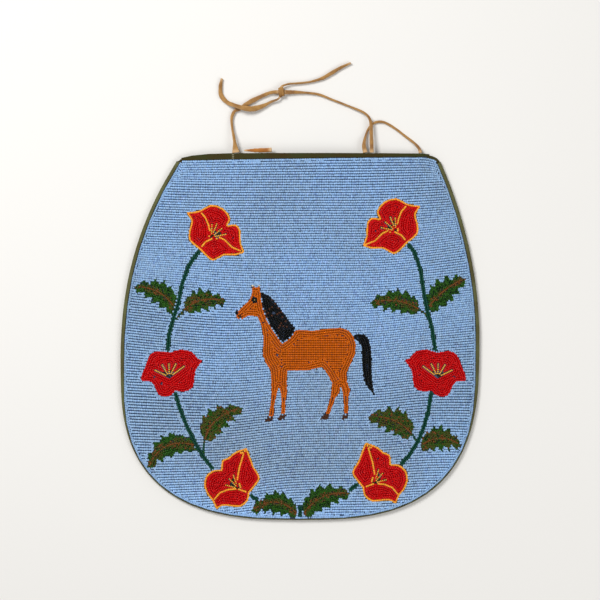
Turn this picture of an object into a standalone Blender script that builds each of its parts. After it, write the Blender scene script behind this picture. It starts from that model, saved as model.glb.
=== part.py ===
"""A flat beaded bag, lying on its back with its mouth towards +Y.

The front is one canvas sheet, covered with rows of glass beads: a light blue
ground, a standing horse, and two flowering stems that meet at the bottom. The
motifs are let into the ground, side by side on the same canvas. The front
arches over a flat back panel, and a tape folded round both edges holds the
sides and the bottom together. The mouth is open, and hide thongs tied in a
knot lie beyond it.

The plan's origin is the middle of the bag's outline, on the surface that the
back panel lies on. Outlines are written from the middle of the bottom edge.
"""

import math

import bmesh
import bpy
import numpy as np

MM = 0.001

# Outline of the bag, from above
WIDTH = 300 * MM
HEIGHT = 306 * MM
LEFT_WIDEST_AT = 130 * MM
RIGHT_WIDEST_AT = 150 * MM
LEFT_FOOT_POWER = 2.8
RIGHT_FOOT_POWER = 2.9
LEFT_FLANK_POWER = 2.3
RIGHT_FLANK_POWER = 2.0
LEFT_CORNER_OUT = 103 * MM
LEFT_CORNER_DROP = 6 * MM
RIGHT_CORNER_OUT = 117.6 * MM
RIGHT_CORNER_DROP = 7 * MM
LEFT_CORNER = (-LEFT_CORNER_OUT, HEIGHT - LEFT_CORNER_DROP)
RIGHT_CORNER = (RIGHT_CORNER_OUT, HEIGHT - RIGHT_CORNER_DROP)
LEFT_SHOULDER = 43 * MM
RIGHT_SHOULDER = 16 * MM

# Layers, from the back upwards
GAP = 0.3 * MM
TAPE = 0.6 * MM
BACK = 1.6 * MM
SEAM_GAP = 0.7 * MM
CANVAS = 0.8 * MM
CROWN = 7 * MM
CROWN_REACH = 110 * MM

# Beadwork
BEAD_ROW = 2.1 * MM
BEAD_HEIGHT = 1.5 * MM
GROOVE = 0.8 * MM
MOTIF_HEIGHT = 1.35 * MM
FIELD_DROP_LEFT = 6 * MM
FIELD_DROP_RIGHT = 2.7 * MM
FIELD_CORNER = 1.2 * MM
FOOT_MARGIN = 1.2 * MM
MARGIN_EASES_FROM = 55 * MM
MARGIN_EASES_TO = 140 * MM

# Folded tapes
LIP_OVER = 3.0 * MM
LIP_UNDER = 8.0 * MM
TAPE_ROUND = 0.5 * MM
FRONT_BAND_INSETS = (4 * MM, 9.6 * MM)
BACK_BAND_INSETS = (11 * MM, 13.6 * MM)
INNER_LIP_INSETS = (21 * MM, 20.6 * MM)
BACK_BAND_WIDTH = 7 * MM
SIDE_MARGIN = LIP_OVER + GAP

# Motifs, which are drawn on a chart of so many squares that is laid over the bag
CHART_SQUARES = (300, 306)
SQUARE = (WIDTH / CHART_SQUARES[0], HEIGHT / CHART_SQUARES[1])
STEM_WIDTH = 3.6 * MM
PETIOLE_WIDTH = 2.0 * MM
BLADE_SHOULDER = 0.4 * MM

# Teeth on each side of a leaf, and shares of its length or width
LEAF_TEETH = 5
BLADE_START = 0.02
NOTCH_AT = 0.25
TOOTH_AT = 0.95
TIP_ROOM = 0.55
NOTCH_WIDTH = 0.62
BLADE_FULLNESS = (0.2, 0.76)

# Stamens, in the chart's squares
STAMEN_WIDTH = 1.5
STAMEN_FORK = 2.6

# Hide thongs
THONG = 3.2 * MM
BRACE = 2.2 * MM
KNOT = (6.0 * MM, 9.0 * MM, 5.4 * MM)

# How finely the curved forms are divided
COLUMN_COUNT = 8
SHEET_PAST_SIDE = 15 * MM
COLUMNS = np.linspace(-1, 1, COLUMN_COUNT) * (WIDTH / 2 + SHEET_PAST_SIDE)
ROWS_BELOW = 3
ROWS_ABOVE = 1
LINES_PER_CELL = 10
CELLS = math.ceil((HEIGHT / BEAD_ROW + ROWS_BELOW + ROWS_ABOVE) / LINES_PER_CELL)
SHOULDER_STEPS = 4
FLANK_STEPS = 7
FOOT_STEPS = 12
STEM_STEP = 12 * MM
THONG_STEP_IN_WIDTHS = 2.4
THONG_ROUNDNESS = 2
KNOT_SEGMENTS = 12
KNOT_RINGS = 8
FLAT_WITHIN = math.radians(0.5)
SHARPEST_CORNER = 0.3
KEPT_FROM = 0.995
SEAM_CARRIED_ON = 2

# Cutters reach well past what they cut
CUT_FROM = -20 * MM
CUT_TO = 40 * MM
CUT_PAST = 40 * MM
WELD = 0.001 * MM


def linear(hexadecimal):
    """A colour as the shader wants it, from its screen value."""
    values = [int(hexadecimal[i : i + 2], 16) / 255 for i in (0, 2, 4)]
    return [v / 12.92 if v <= 0.04045 else ((v + 0.055) / 1.055) ** 2.4 for v in values] + [1.0]


COLOURS = {
    "ground_beads": ("8FB4E0", 0.25),
    "red_beads": ("BE1016", 0.25),
    "yellow_beads": ("F0A83C", 0.25),
    "leaf_beads": ("38571F", 0.3),
    "stem_beads": ("17422E", 0.3),
    "chestnut_beads": ("C06014", 0.28),
    "black_beads": ("1E2120", 0.25),
    "hoof_beads": ("3A2218", 0.3),
    "canvas": ("B9B19A", 0.9),
    "olive_tape": ("5C5829", 0.9),
    "back_cloth": ("4A4636", 0.95),
    "hide": ("BE9150", 0.8),
}


# Outlines

def left_flank(height):
    """How far out the left side is above its widest place."""
    share = (height - LEFT_WIDEST_AT) / (LEFT_CORNER[1] - LEFT_WIDEST_AT)
    return -(WIDTH / 2 - (WIDTH / 2 + LEFT_CORNER[0]) * share**LEFT_FLANK_POWER)


def right_flank(height):
    """How far out the right side is above its widest place."""
    share = (height - RIGHT_WIDEST_AT) / (RIGHT_CORNER[1] - RIGHT_WIDEST_AT)
    return WIDTH / 2 - (WIDTH / 2 - RIGHT_CORNER[0]) * share**RIGHT_FLANK_POWER


def foot(widest_at, power):
    """The rounded bottom of one side, from the widest place to the middle."""
    points = []
    for angle in np.linspace(0, math.pi / 2, FOOT_STEPS + 1):
        out = WIDTH / 2 * math.cos(angle) ** (2 / power)
        up = widest_at * (1 - math.sin(angle) ** (2 / power))
        points.append((out, up))
    return points


def side_and_foot():
    """The sewn edge, from the left mouth corner round to the right one."""
    heights = np.linspace(LEFT_CORNER[1], LEFT_WIDEST_AT, FLANK_STEPS + 1)[:-1]
    left = [(left_flank(h), h) for h in heights]
    left += [(-out, up) for out, up in foot(LEFT_WIDEST_AT, LEFT_FOOT_POWER)]
    right = foot(RIGHT_WIDEST_AT, RIGHT_FOOT_POWER)[-2::-1]
    heights = np.linspace(RIGHT_WIDEST_AT, RIGHT_CORNER[1], FLANK_STEPS + 1)[1:]
    return left + right + [(right_flank(h), h) for h in heights]


def mouth_edge():
    """The mouth, from the right corner back to the left one, without the corners."""
    points = []
    for angle in np.linspace(0, math.pi / 2, SHOULDER_STEPS + 1)[1:]:
        x = RIGHT_CORNER[0] - RIGHT_SHOULDER * (1 - math.cos(angle))
        points.append((x, RIGHT_CORNER[1] + (HEIGHT - RIGHT_CORNER[1]) * math.sin(angle)))
    for angle in np.linspace(math.pi / 2, 0, SHOULDER_STEPS + 1)[:-1]:
        x = LEFT_CORNER[0] + LEFT_SHOULDER * (1 - math.cos(angle))
        points.append((x, LEFT_CORNER[1] + (HEIGHT - LEFT_CORNER[1]) * math.sin(angle)))
    return points


def grown(outline, distance):
    """A counter-clockwise outline with each edge moved outwards by a distance."""
    points = np.array(outline)
    ahead = np.roll(points, -1, axis=0) - points
    ahead /= np.linalg.norm(ahead, axis=1)[:, None]
    out_next = np.column_stack([ahead[:, 1], -ahead[:, 0]])
    out_last = np.roll(out_next, 1, axis=0)
    both = out_next + out_last
    stretch = np.maximum((both**2).sum(axis=1), SHARPEST_CORNER)
    return points + both * (2 * np.asarray(distance) / stretch)[:, None]


def distance_to(points, line):
    """How far each point is from the nearest run of a line."""
    start, along = line[:-1], line[1:] - line[:-1]
    share = ((points[:, None] - start) * along).sum(axis=2) / (along**2).sum(axis=1)
    nearest = start + np.clip(share, 0, 1)[:, :, None] * along
    return np.linalg.norm(points[:, None] - nearest, axis=2).min(axis=1)


def shrunk(outline, distance):
    """An outline moved inwards, without the points that a sharp corner turns over."""
    inside = grown(outline, -distance)
    around = np.vstack([outline, outline[:1]])
    return inside[distance_to(inside, around) > distance * KEPT_FROM]


def counter_clockwise(points):
    """The same outline, turned round if it runs clockwise."""
    p = np.array(points, float)
    q = np.roll(p, -1, axis=0)
    area = (p[:, 0] * q[:, 1] - q[:, 0] * p[:, 1]).sum()
    return p if area > 0 else p[::-1]


SEAM = np.array(side_and_foot())
OUTLINE = np.array(side_and_foot() + mouth_edge())


def field_margin(heights):
    """Width of the tape left bare beside the beads, wide at the sides."""
    share = (heights - MARGIN_EASES_FROM) / (MARGIN_EASES_TO - MARGIN_EASES_FROM)
    share = np.clip(share, 0, 1)
    return FOOT_MARGIN + (SIDE_MARGIN - FOOT_MARGIN) * share * share * (3 - 2 * share)


def field_top(x):
    """Height of the beadwork's straight top edge, which climbs to the right."""
    slope = (FIELD_DROP_LEFT - FIELD_DROP_RIGHT) / (RIGHT_CORNER[0] - LEFT_CORNER[0])
    return HEIGHT - FIELD_DROP_LEFT + slope * (x - LEFT_CORNER[0])


def bead_field():
    """Outline of the beadwork, inside the tape and below the mouth band."""
    inside = grown(OUTLINE, -field_margin(OUTLINE[:, 1]))[: len(SEAM) + SHOULDER_STEPS]
    below = inside[inside[:, 1] < field_top(inside[:, 0]) - GAP]
    corner = below[0][0] + FIELD_CORNER
    return np.vstack([below, [(corner, field_top(corner))]])


FIELD = bead_field()


# Arch of the front

def seam_distance(points):
    """How far each point lies inside the sewn edge, which is carried on past the mouth."""
    first = SEAM[0] + (SEAM[0] - SEAM[1]) * SEAM_CARRIED_ON
    last = SEAM[-1] + (SEAM[-1] - SEAM[-2]) * SEAM_CARRIED_ON
    seam = np.vstack([first, SEAM, last])
    distance = distance_to(points, seam)
    closed = np.vstack([seam, seam[:1]])
    c, d = closed[:-1], closed[1:]
    x, y = points[:, :1], points[:, 1:]
    straddles = (c[:, 1] > y) != (d[:, 1] > y)
    rise = np.where(d[:, 1] == c[:, 1], 1, d[:, 1] - c[:, 1])
    crossing = c[:, 0] + (y - c[:, 1]) / rise * (d[:, 0] - c[:, 0])
    inside = (straddles & (x < crossing)).sum(axis=1) % 2 == 1
    return np.where(inside, distance, -distance)


def crown(points):
    """Rise of the front over its seam, level in the middle and at the mouth."""
    share = np.minimum(seam_distance(points), CROWN_REACH) / CROWN_REACH
    return CROWN * (1 - (1 - share) ** 2)


CANVAS_UNDER = BACK + SEAM_GAP
CANVAS_OVER = CANVAS_UNDER + CANVAS
BEADS_UNDER = CANVAS_OVER + GAP
RIDGE_ROWS = (np.arange(CELLS * LINES_PER_CELL + 1) - ROWS_BELOW) * BEAD_ROW
CELL_ROWS = RIDGE_ROWS[::LINES_PER_CELL]


# Scene, collections and materials

def clear_scene():
    for thing in list(bpy.data.objects):
        bpy.data.objects.remove(thing, do_unlink=True)


def new_collection(name):
    made = bpy.data.collections.new(name)
    bpy.context.scene.collection.children.link(made)
    return made


def material(name, look):
    shade, roughness = COLOURS[look]
    made = bpy.data.materials.new(name)
    made.use_nodes = True
    made.diffuse_color = linear(shade)
    principled = made.node_tree.nodes["Principled BSDF"]
    principled.inputs["Base Color"].default_value = linear(shade)
    principled.inputs["Roughness"].default_value = roughness
    principled.inputs["Metallic"].default_value = 0.0
    return made


def add_piece(name, data, look):
    piece = bpy.data.objects.new(name, data)
    data.materials.append(material(name, look))
    BAG.objects.link(piece)
    return piece


def placed(points):
    """Plan points measured from the bottom edge, moved to the plan's origin."""
    return np.array(points, float) - (0, HEIGHT / 2)


# Building blocks

def add_line(curve, points, closed=False):
    """Straight runs through points, as one spline of a curve."""
    spline = curve.splines.new("POLY")
    spline.points.add(len(points) - 1)
    for point, spot in zip(spline.points, points):
        point.co = (*spot, 1)
    spline.use_cyclic_u = closed


def solid_of(curve, lift=0.0):
    """The closed mesh of a curve, with its caps welded on. The curve is used up."""
    holder = bpy.data.objects.new(curve.name, curve)
    bpy.context.scene.collection.objects.link(holder)
    graph = bpy.context.evaluated_depsgraph_get()
    mesh = bpy.data.meshes.new_from_object(holder.evaluated_get(graph))
    bpy.data.objects.remove(holder)
    bpy.data.curves.remove(curve)
    work = bmesh.new()
    work.from_mesh(mesh)
    bmesh.ops.remove_doubles(work, verts=work.verts, dist=WELD)
    bmesh.ops.translate(work, verts=work.verts, vec=(0, 0, lift))
    bmesh.ops.recalc_face_normals(work, faces=work.faces)
    work.to_mesh(mesh)
    work.free()
    return mesh


def prism_mesh(name, outline, low, high):
    """A flat outline carried straight up, as a closed mesh."""
    curve = bpy.data.curves.new(name, "CURVE")
    curve.dimensions = "2D"
    curve.fill_mode = "BOTH"
    curve.extrude = (high - low) / 2
    add_line(curve, [(x, y, 0) for x, y in placed(outline)], closed=True)
    return solid_of(curve, lift=(high + low) / 2)


def helper(name, mesh, group=None):
    """An object that only cuts or bounds other pieces."""
    made = bpy.data.objects.new(name, mesh)
    made.hide_render = True
    made.display_type = "WIRE"
    (group or CUTTERS).objects.link(made)
    return made


def rectangle(left, right, bottom, top):
    """Outline of an upright rectangle."""
    return [(left, bottom), (right, bottom), (right, top), (left, top)]


def cutter(name, outline, low=CUT_FROM, high=CUT_TO, group=None):
    """A helper that is a prism."""
    return helper(name, prism_mesh(name, outline, low, high), group)


def sheet_mesh(name, under, over, rows=CELL_ROWS, groove=0.0):
    """A sheet that follows the front's arch, over the whole plan and a little past it.

    With a groove, every second row of points lies lower, so that the upper
    face is a run of ridges.
    """
    work = bmesh.new()

    def grid(lines, base, sink):
        plan = np.array([(x, y) for y in lines for x in COLUMNS])
        heights = base + crown(plan)
        spots = placed(plan)
        made = []
        for i in range(len(lines)):
            picks = range(i * len(COLUMNS), (i + 1) * len(COLUMNS))
            drop = sink if i % 2 else 0.0
            made.append([work.verts.new((*spots[k], heights[k] - drop)) for k in picks])
        return made

    def skin(lines, turned):
        for near, far in zip(lines, lines[1:]):
            for k in range(len(COLUMNS) - 1):
                for corners in (
                    (near[k], near[k + 1], far[k + 1]),
                    (near[k], far[k + 1], far[k]),
                ):
                    work.faces.new(corners[::-1] if turned else corners)

    low = grid(CELL_ROWS, under, 0.0)
    high = grid(rows, over, groove)
    skin(low, True)
    skin(high, False)
    work.faces.new(low[0] + high[0][::-1])
    work.faces.new(low[-1][::-1] + high[-1])
    work.faces.new([line[0] for line in low[::-1]] + [line[0] for line in high])
    work.faces.new([line[-1] for line in low] + [line[-1] for line in high[::-1]])
    mesh = bpy.data.meshes.new(name)
    work.to_mesh(mesh)
    work.free()
    return mesh


def boolean(piece, operation, operand):
    """A Boolean with one object, or with every object of a collection."""
    step = piece.modifiers.new(operation.title(), "BOOLEAN")
    step.operation = operation
    step.solver = "EXACT"
    if isinstance(operand, bpy.types.Collection):
        step.operand_type = "COLLECTION"
        step.collection = operand
    else:
        step.object = operand


def merge_flat_faces(piece):
    """Joins faces that lie in one plane, which the Booleans leave cut up."""
    step = piece.modifiers.new("Flat faces", "DECIMATE")
    step.decimate_type = "DISSOLVE"
    step.angle_limit = FLAT_WITHIN


# Curves through chosen points

def bow(a, b, lead, trail, steps):
    """Points from a towards b, short of b, that leave along lead and arrive along trail."""
    points = []
    for t in np.arange(steps) / steps:
        start = (2 * t**3 - 3 * t**2 + 1) * a + (t**3 - 2 * t**2 + t) * lead
        points.append(start + (3 * t**2 - 2 * t**3) * b + (t**3 - t**2) * trail)
    return points


def smooth(points, steps=2):
    """A closed curve through points, which turns sharply at those marked with a third value."""
    spots = np.array([p[:2] for p in points], float)
    sharp = [len(p) > 2 for p in points]
    count = len(spots)
    curve = []
    for i in range(count):
        j = (i + 1) % count
        a, b = spots[i], spots[j]
        lead = (b - a) if sharp[i] else (b - spots[i - 1]) / 2
        trail = (b - a) if sharp[j] else (spots[(j + 1) % count] - a) / 2
        curve += bow(a, b, lead, trail, steps)
    return np.array(curve)


def route(points, spacing):
    """An open smooth curve through points, with a point about every spacing."""
    spots = np.array(points, float)
    ends = np.vstack([2 * spots[0] - spots[1], spots, 2 * spots[-1] - spots[-2]])
    curve = []
    for i in range(1, len(ends) - 2):
        a, b = ends[i], ends[i + 1]
        lead, trail = (b - ends[i - 1]) / 2, (ends[i + 2] - a) / 2
        steps = max(1, round(float(np.linalg.norm(b - a)) / spacing))
        curve += bow(a, b, lead, trail, steps)
    return np.array(curve + [spots[-1]])


def ribbon(centre, width):
    """Outline of a strip of even width along a line."""
    line = np.array(centre)
    ahead = np.gradient(line, axis=0)
    ahead /= np.linalg.norm(ahead, axis=1)[:, None]
    aside = np.column_stack([-ahead[:, 1], ahead[:, 0]]) * width / 2
    return counter_clockwise(np.vstack([line + aside, (line - aside)[::-1]]))


# Drawing of the motifs

def leaf_outline(base, tip, width, bend, petiole):
    """A toothed leaf from its petiole's foot to its tip, bowed to one side."""
    base, tip = np.array(base), np.array(tip)
    aside = np.array([-(tip - base)[1], (tip - base)[0]])
    aside /= np.linalg.norm(aside)
    length = np.linalg.norm(tip - base)
    middle = (base + tip) / 2 + aside * bend

    def on_rib(share):
        return (1 - share) ** 2 * base + 2 * share * (1 - share) * middle + share**2 * tip

    def edge(side):
        start = petiole / length
        points = [(0.0, PETIOLE_WIDTH / 2)] if petiole else []
        points.append((start + BLADE_START, PETIOLE_WIDTH / 2 + BLADE_SHOULDER))
        for k in range(LEAF_TEETH):
            notch, tooth, middle_of_tooth = (
                (k + share) / (LEAF_TEETH + TIP_ROOM) for share in (NOTCH_AT, TOOTH_AT, 0.5)
            )
            fullness = BLADE_FULLNESS[0] + BLADE_FULLNESS[1] * middle_of_tooth
            full = width / 2 * math.sin(math.pi * fullness)
            points.append((start + (1 - start) * notch, full * NOTCH_WIDTH))
            points.append((start + (1 - start) * tooth, full))
        return [on_rib(s) + side * aside * w for s, w in points]

    return counter_clockwise(np.vstack([edge(1), [tip], edge(-1)[::-1]]))


def fan_outline(base, tips, width):
    """Stamens that spread from one base, as one outline."""
    base = np.array(base)
    points = []
    for i, tip in enumerate(tips):
        tip = np.array(tip)
        ahead = (tip - base) / np.linalg.norm(tip - base)
        aside = np.array([-ahead[1], ahead[0]]) * width / 2
        points += [tip + aside, tip - aside]
        if i + 1 < len(tips):
            after = np.array(tips[i + 1]) - base
            halfway = ahead + after / np.linalg.norm(after)
            halfway /= np.linalg.norm(halfway)
            points.append(base + halfway * STAMEN_FORK)
    heel = np.array(tips[len(tips) // 2]) - base
    points.append(base - heel / np.linalg.norm(heel) * width / 2)
    return points


def on_bag(points):
    """Places on the chart, in its squares, as places on the bag."""
    return np.array(points, float) * SQUARE


def drawn(points, at, mirrored=False):
    """A drawing about its own middle, put in its place on the bag."""
    side = -1 if mirrored else 1
    spots = on_bag([(at[0] + side * p[0], at[1] + p[1]) for p in points])
    return [(*spot, *p[2:]) for spot, p in zip(spots, points)]


# The outlined flower seen from the side, in squares about its middle
SIDE_FLOWER = {
    "whole": [(-25, 16.6, 1), (-13.4, 17.8), (-3.6, 22.8), (7, 19.6), (13, 11.4), (10.8, 5.6, 1),
              (17, 6.4), (21.4, 1.4), (21.8, -9), (25, -17.4, 1), (17, -20), (7.4, -20),
              (-1.2, -24.6), (-7.2, -21), (-13, -15, 1), (-21.8, -7.4), (-21.9, 1.4), (-20, 9)],
    "petals": {
        "left": [(-21.3, 14.4, 1), (-13.6, 14.6), (-9, 11), (-6.5, 5), (-5.8, -4.7),
                 (-12.2, -12, 1), (-19.3, -6.3), (-19.4, 1.4), (-17.6, 8.6)],
        "back": [(-10.8, 16.4), (-3.6, 20.3), (5.4, 17.2), (10.4, 11), (7.2, 4, 1), (15.6, 4),
                 (18.6, 0), (19.3, -8), (20.6, -14.6, 1), (14.8, -12.2), (8.4, -5.9), (3, -3.4),
                 (-3, -2.8), (-4.2, 5), (-7, 12)],
        "front": [(-10.6, -13.4, 1), (-7.2, -9.2), (-1, -6.2), (4.8, -7.8), (10.8, -13),
                  (19.4, -17, 1), (6.8, -17.6), (-1.2, -22), (-5.6, -19.2)],
    },
    "stamens": [(-3, -4.6), [(-2.6, 6.5), (1.6, 7), (6, 3), (9.5, -2)]],
    "stamens_cross": ("back",),
}
# The outlined flower that opens upwards
OPEN_FLOWER = {
    "whole": [(12.4, 26, 1), (16.4, 15.4), (18.8, 9), (22.6, 3), (22.6, -2.4), (14.6, -12.6, 1),
              (13.4, -19.2), (6.8, -24.4), (-3, -23.7), (-8.8, -23.8), (-13.4, -27.2, 1),
              (-16.6, -19.4), (-20.4, -14.8), (-23.6, -7), (-22.2, 1.6), (-15.8, 7),
              (-9.4, 7.6, 1), (-8.6, 15.2), (-3, 17.6), (2, 22)],
    "petals": {
        "right": [(11.6, 20, 1), (14, 14.6), (16.6, 8.6), (20, 2.6), (20, -1.4), (13, -10.2, 1),
                  (7.8, -7), (5.8, -0.4), (7.4, 9)],
        "left": [(8.6, 20.4, 1), (2, 19.2), (-2.2, 15), (-6.2, 12.8), (-6.8, 5, 1), (-15, 4.4),
                 (-19.8, 0.6), (-21, -6.8), (-18.2, -13.2), (-15, -15.6, 1), (-11, -11.4),
                 (-4, -8.3), (3.4, -7.6), (3.4, -0.6), (5.2, 9)],
        "front": [(-12.9, -24, 1), (-14.2, -18.6), (-9.8, -13.2), (-3.4, -10.6), (4.2, -9.9),
                  (11.8, -12.6, 1), (10.9, -18.2), (6, -21.9), (-3, -21.2), (-9, -21)],
    },
    "stamens": [(5, -8.6), [(-6, -5.6), (-2.6, 0), (0.8, 3)]],
    "stamens_cross": ("left",),
}
# The flower without outlines, seen from the front
ROUND_FLOWER = {
    "whole": [(-10, 17.6), (0, 16.2), (8, 18.8), (18, 17), (23, 11.4), (28, 10, 1), (22, 2.4),
              (20.5, -5), (19, -13), (12, -16.6), (4.4, -15.8, 1), (0, -20.2), (-9, -20),
              (-13, -12), (-16, -8.4, 1), (-24.4, -8, 1), (-24, -2.6), (-20.6, 5), (-17, 14)],
    "stamens": [(-0.6, -4.4), [(-13, 1.5), (-6.9, 6.2), (-1, 7.2), (5, 7), (12, 4.8)]],
}

FLOWERS = {
    "flower_upper_left": (SIDE_FLOWER, (-70.5, 240.5), False),
    "flower_upper_right": (SIDE_FLOWER, (76.5, 246.0), True),
    "flower_mid_left": (ROUND_FLOWER, (-108.0, 124.0), False),
    "flower_mid_right": (ROUND_FLOWER, (114.0, 124.0), True),
    "flower_lower_left": (OPEN_FLOWER, (-56.5, 35.5), False),
    "flower_lower_right": (OPEN_FLOWER, (66.5, 40.0), True),
}

# Middle lines of the stems, in squares from the middle of the bottom edge
STEMS = {
    "stem_upper_left": [(-80, 229), (-92, 213), (-98, 197), (-101, 181), (-105, 169), (-109, 154),
                        (-110, 137)],
    "stem_lower_left": [(-105, 112), (-100, 94), (-94, 79), (-86, 63), (-80, 53), (-68, 38)],
    "stem_end_left": [(-46, 25.5), (-40, 20.5), (-33.5, 15.5)],
    "stem_upper_right": [(85, 236), (95, 224), (100, 209), (103, 189), (106, 174), (110, 159),
                         (113, 138)],
    "stem_lower_right": [(110, 112), (107, 93), (103, 78), (98, 66), (91, 55), (79, 41)],
    "stem_end_right": [(54, 35), (47, 30), (40.5, 25)],
    "stem_foot": [(0, 12.5), (0.2, 2.8)],
}

STEM_ENDS = ("stem_end_left", "stem_end_right")

# Each leaf: petiole's foot, tip, and its width, its bend to the left of its run and its petiole
LEAVES = {
    "leaf_upper_left_outer": ((-102.5, 174.5), (-137.4, 194.9), (22, -12, 0)),
    "leaf_upper_left_inner": ((-102.5, 168.3), (-62.1, 182.8), (21, 15, 9)),
    "leaf_lower_left_outer": ((-85.5, 62.5), (-126.8, 44), (21, -20, 0)),
    "leaf_lower_left_inner": ((-80.5, 56.5), (-47.8, 94.1), (23, 20, 9)),
    "leaf_foot_left": ((-1.6, 5), (-40.5, 7.9), (21, -18, 0)),
    "leaf_upper_right_outer": ((105.8, 176.3), (137.5, 201.7), (23, 6, 0)),
    "leaf_upper_right_inner": ((105.6, 171), (58.7, 181.3), (21, -13, 7)),
    "leaf_lower_right_outer": ((100, 62), (134.2, 62.5), (22, 13, 0)),
    "leaf_lower_right_inner": ((97.5, 66), (56.9, 86.8), (24, -14, 6)),
    "leaf_foot_right": ((2.5, 5.4), (41.7, 22.8), (22, 13, 0)),
}

# The standing horse, in squares from the ground under its middle
HORSE_AT = (8, 84)
HORSE = [
    (-14, 74), (-19, 81), (-29, 93), (-37, 101), (-41.2, 107.5), (-41, 113.5, 1), (-44.4, 110),
    (-48, 113.5, 1), (-48, 105.5), (-50, 100), (-57.5, 92.5), (-62, 88.5), (-60, 83.5), (-55.5, 84),
    (-51, 86.5), (-43.6, 86), (-40, 78), (-38.5, 69), (-39, 54), (-36.6, 47.5), (-32.6, 41.5),
    (-32, 32), (-31.8, 20), (-33, 10), (-34.4, 2.8, 1), (-29.8, 2.8, 1), (-29.2, 12), (-27, 22),
    (-25.6, 27.5, 1), (-24, 22), (-23.4, 13), (-24, 4.8, 1), (-19.9, 4.8, 1), (-20, 14),
    (-18.4, 25), (-18.8, 35), (-18.2, 41, 1), (-2, 41), (10.4, 44), (14.6, 38.5), (18.4, 31),
    (17.8, 22), (15.4, 12), (12.4, 4.8, 1), (16.6, 4.8, 1), (21.4, 18), (25, 23), (25.6, 28, 1),
    (27.6, 22), (28.4, 12), (28.2, 5.2, 1), (32.2, 5.2, 1), (32.2, 19), (34, 24.8), (31.2, 32),
    (30.6, 39), (34.4, 47), (38, 55), (38.6, 63), (36.4, 70), (32, 75), (25, 77), (14.5, 76),
    (2, 74.5), (-8, 75.4),
]
MANE = [(-40.2, 106, 1), (-32.6, 103), (-22, 89.5), (-12, 76.4, 1), (-15, 70), (-22.6, 64, 1),
        (-28.6, 72.5), (-35, 83), (-39, 95)]
TAIL = [(36, 70.5, 1), (41, 72), (47, 70), (50.4, 62), (51.8, 50), (52, 34), (54.6, 19.5, 1),
        (49, 26), (45.2, 33), (43.4, 46), (43.2, 58), (41, 65.4), (37, 65.6, 1)]
HOOVES = {
    "hoof_front_far": [(-34.4, 2.5), (-29.8, 2.5), (-30.6, -0.4), (-37, -1.2)],
    "hoof_front_near": [(-24, 4.5), (-19.9, 4.5), (-20.8, 0.6), (-26, 0.4)],
    "hoof_hind_far": [(12.4, 4.5), (16.6, 4.5), (15, 0.6), (8.8, 0.6)],
    "hoof_hind_near": [(28.2, 4.9), (32.2, 4.9), (31.2, 1.6), (26.8, 0.4)],
}

# Thong routes in millimetres, from the middle of the bottom edge and up from the ground
THONGS = {
    "thong_left": [(-53.4, 306.5, 7.2), (-54.9, 318, 5.6), (-56.6, 327.4, 3.4), (-57.1, 336, 2.0),
                   (-54.7, 341.6, 1.8), (-49.9, 344, 1.7), (-42.5, 349, 1.7), (-33.3, 353.6, 1.8),
                   (-25, 357, 2.4), (-19.6, 357.6, 3.0)],
    "thong_left_tail": [(-14.8, 362.5, 3.2), (-9, 364.4, 2.8), (-4.3, 364.8, 2.2), (7.3, 366, 1.8),
                        (18.1, 369, 1.7), (26.4, 373.6, 1.8), (33.9, 378, 1.9), (42.5, 382, 1.8)],
    "thong_right": [(59.8, 306.5, 7.9), (59.5, 318, 6.6), (59.3, 326, 5.4), (59.1, 331.6, 4.9),
                    (57.1, 336.6, 4.3), (52.6, 340.7, 3.4), (41.8, 345.4, 2.2), (26.4, 351.5, 1.8),
                    (16.5, 355.4, 1.8), (7.3, 356.9, 1.9), (-4.3, 357.5, 2.4), (-12.2, 357.3, 3.0)],
    "thong_right_tail": [(-18.4, 351.6, 3.2), (-24.2, 349.4, 2.4), (-30.3, 346.3, 2.2),
                         (-36.6, 344, 3.2), (-42.5, 343.2, 4.8), (-48.5, 344.2, 5.4),
                         (-54.9, 346.3, 4.9), (-60.7, 348.8, 3.0), (-65.9, 354.8, 1.9),
                         (-66.5, 362.3, 1.7), (-65.3, 369, 1.7)],
    "thong_brace": [(100.6, 306.5, 4.4), (99.2, 310.5, 4.0), (95.3, 315, 2.9), (87.9, 320.8, 1.6),
                    (80.4, 326.6, 1.3), (72.9, 331.3, 1.25), (67.5, 332.9, 1.25),
                    (61.5, 331.6, 1.25), (57.1, 326.6, 1.4), (54.4, 319.3, 3.2), (53.3, 312.5, 6.0),
                    (54.4, 306.5, 7.8)],
    "thong_left_end": [(-46.6, 308.3, 7.6), (-39.4, 308.4, 7.2), (-31, 308.6, 6.4),
                       (-23.6, 309, 5.4)],
}
KNOT_AT = (-15.9, 357.3, 3.0)


# Pieces of cloth

def build_back():
    """The back panel, thinner where the folded tape passes under its edge."""
    edge = grown(OUTLINE, -(TAPE + GAP))
    inner = shrunk(OUTLINE, LIP_UNDER + GAP)
    panel = add_piece("back_panel", prism_mesh("back_panel", edge, 0.0, BACK), "back_cloth")
    beyond = rectangle(-WIDTH, WIDTH, -CUT_PAST, HEIGHT + CUT_PAST)
    rebate = cutter("tape_rebate", beyond, high=TAPE + GAP)
    boolean(rebate, "DIFFERENCE", cutter("rebate_core", inner, low=2 * CUT_FROM))
    boolean(panel, "DIFFERENCE", rebate)


def build_front():
    """The canvas that carries the beads."""
    sheet = sheet_mesh("front_panel", CANVAS_UNDER, CANVAS_OVER)
    panel = add_piece("front_panel", sheet, "canvas")
    boolean(panel, "INTERSECT", cutter("front_outline", grown(OUTLINE, -(TAPE + GAP))))


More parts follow.
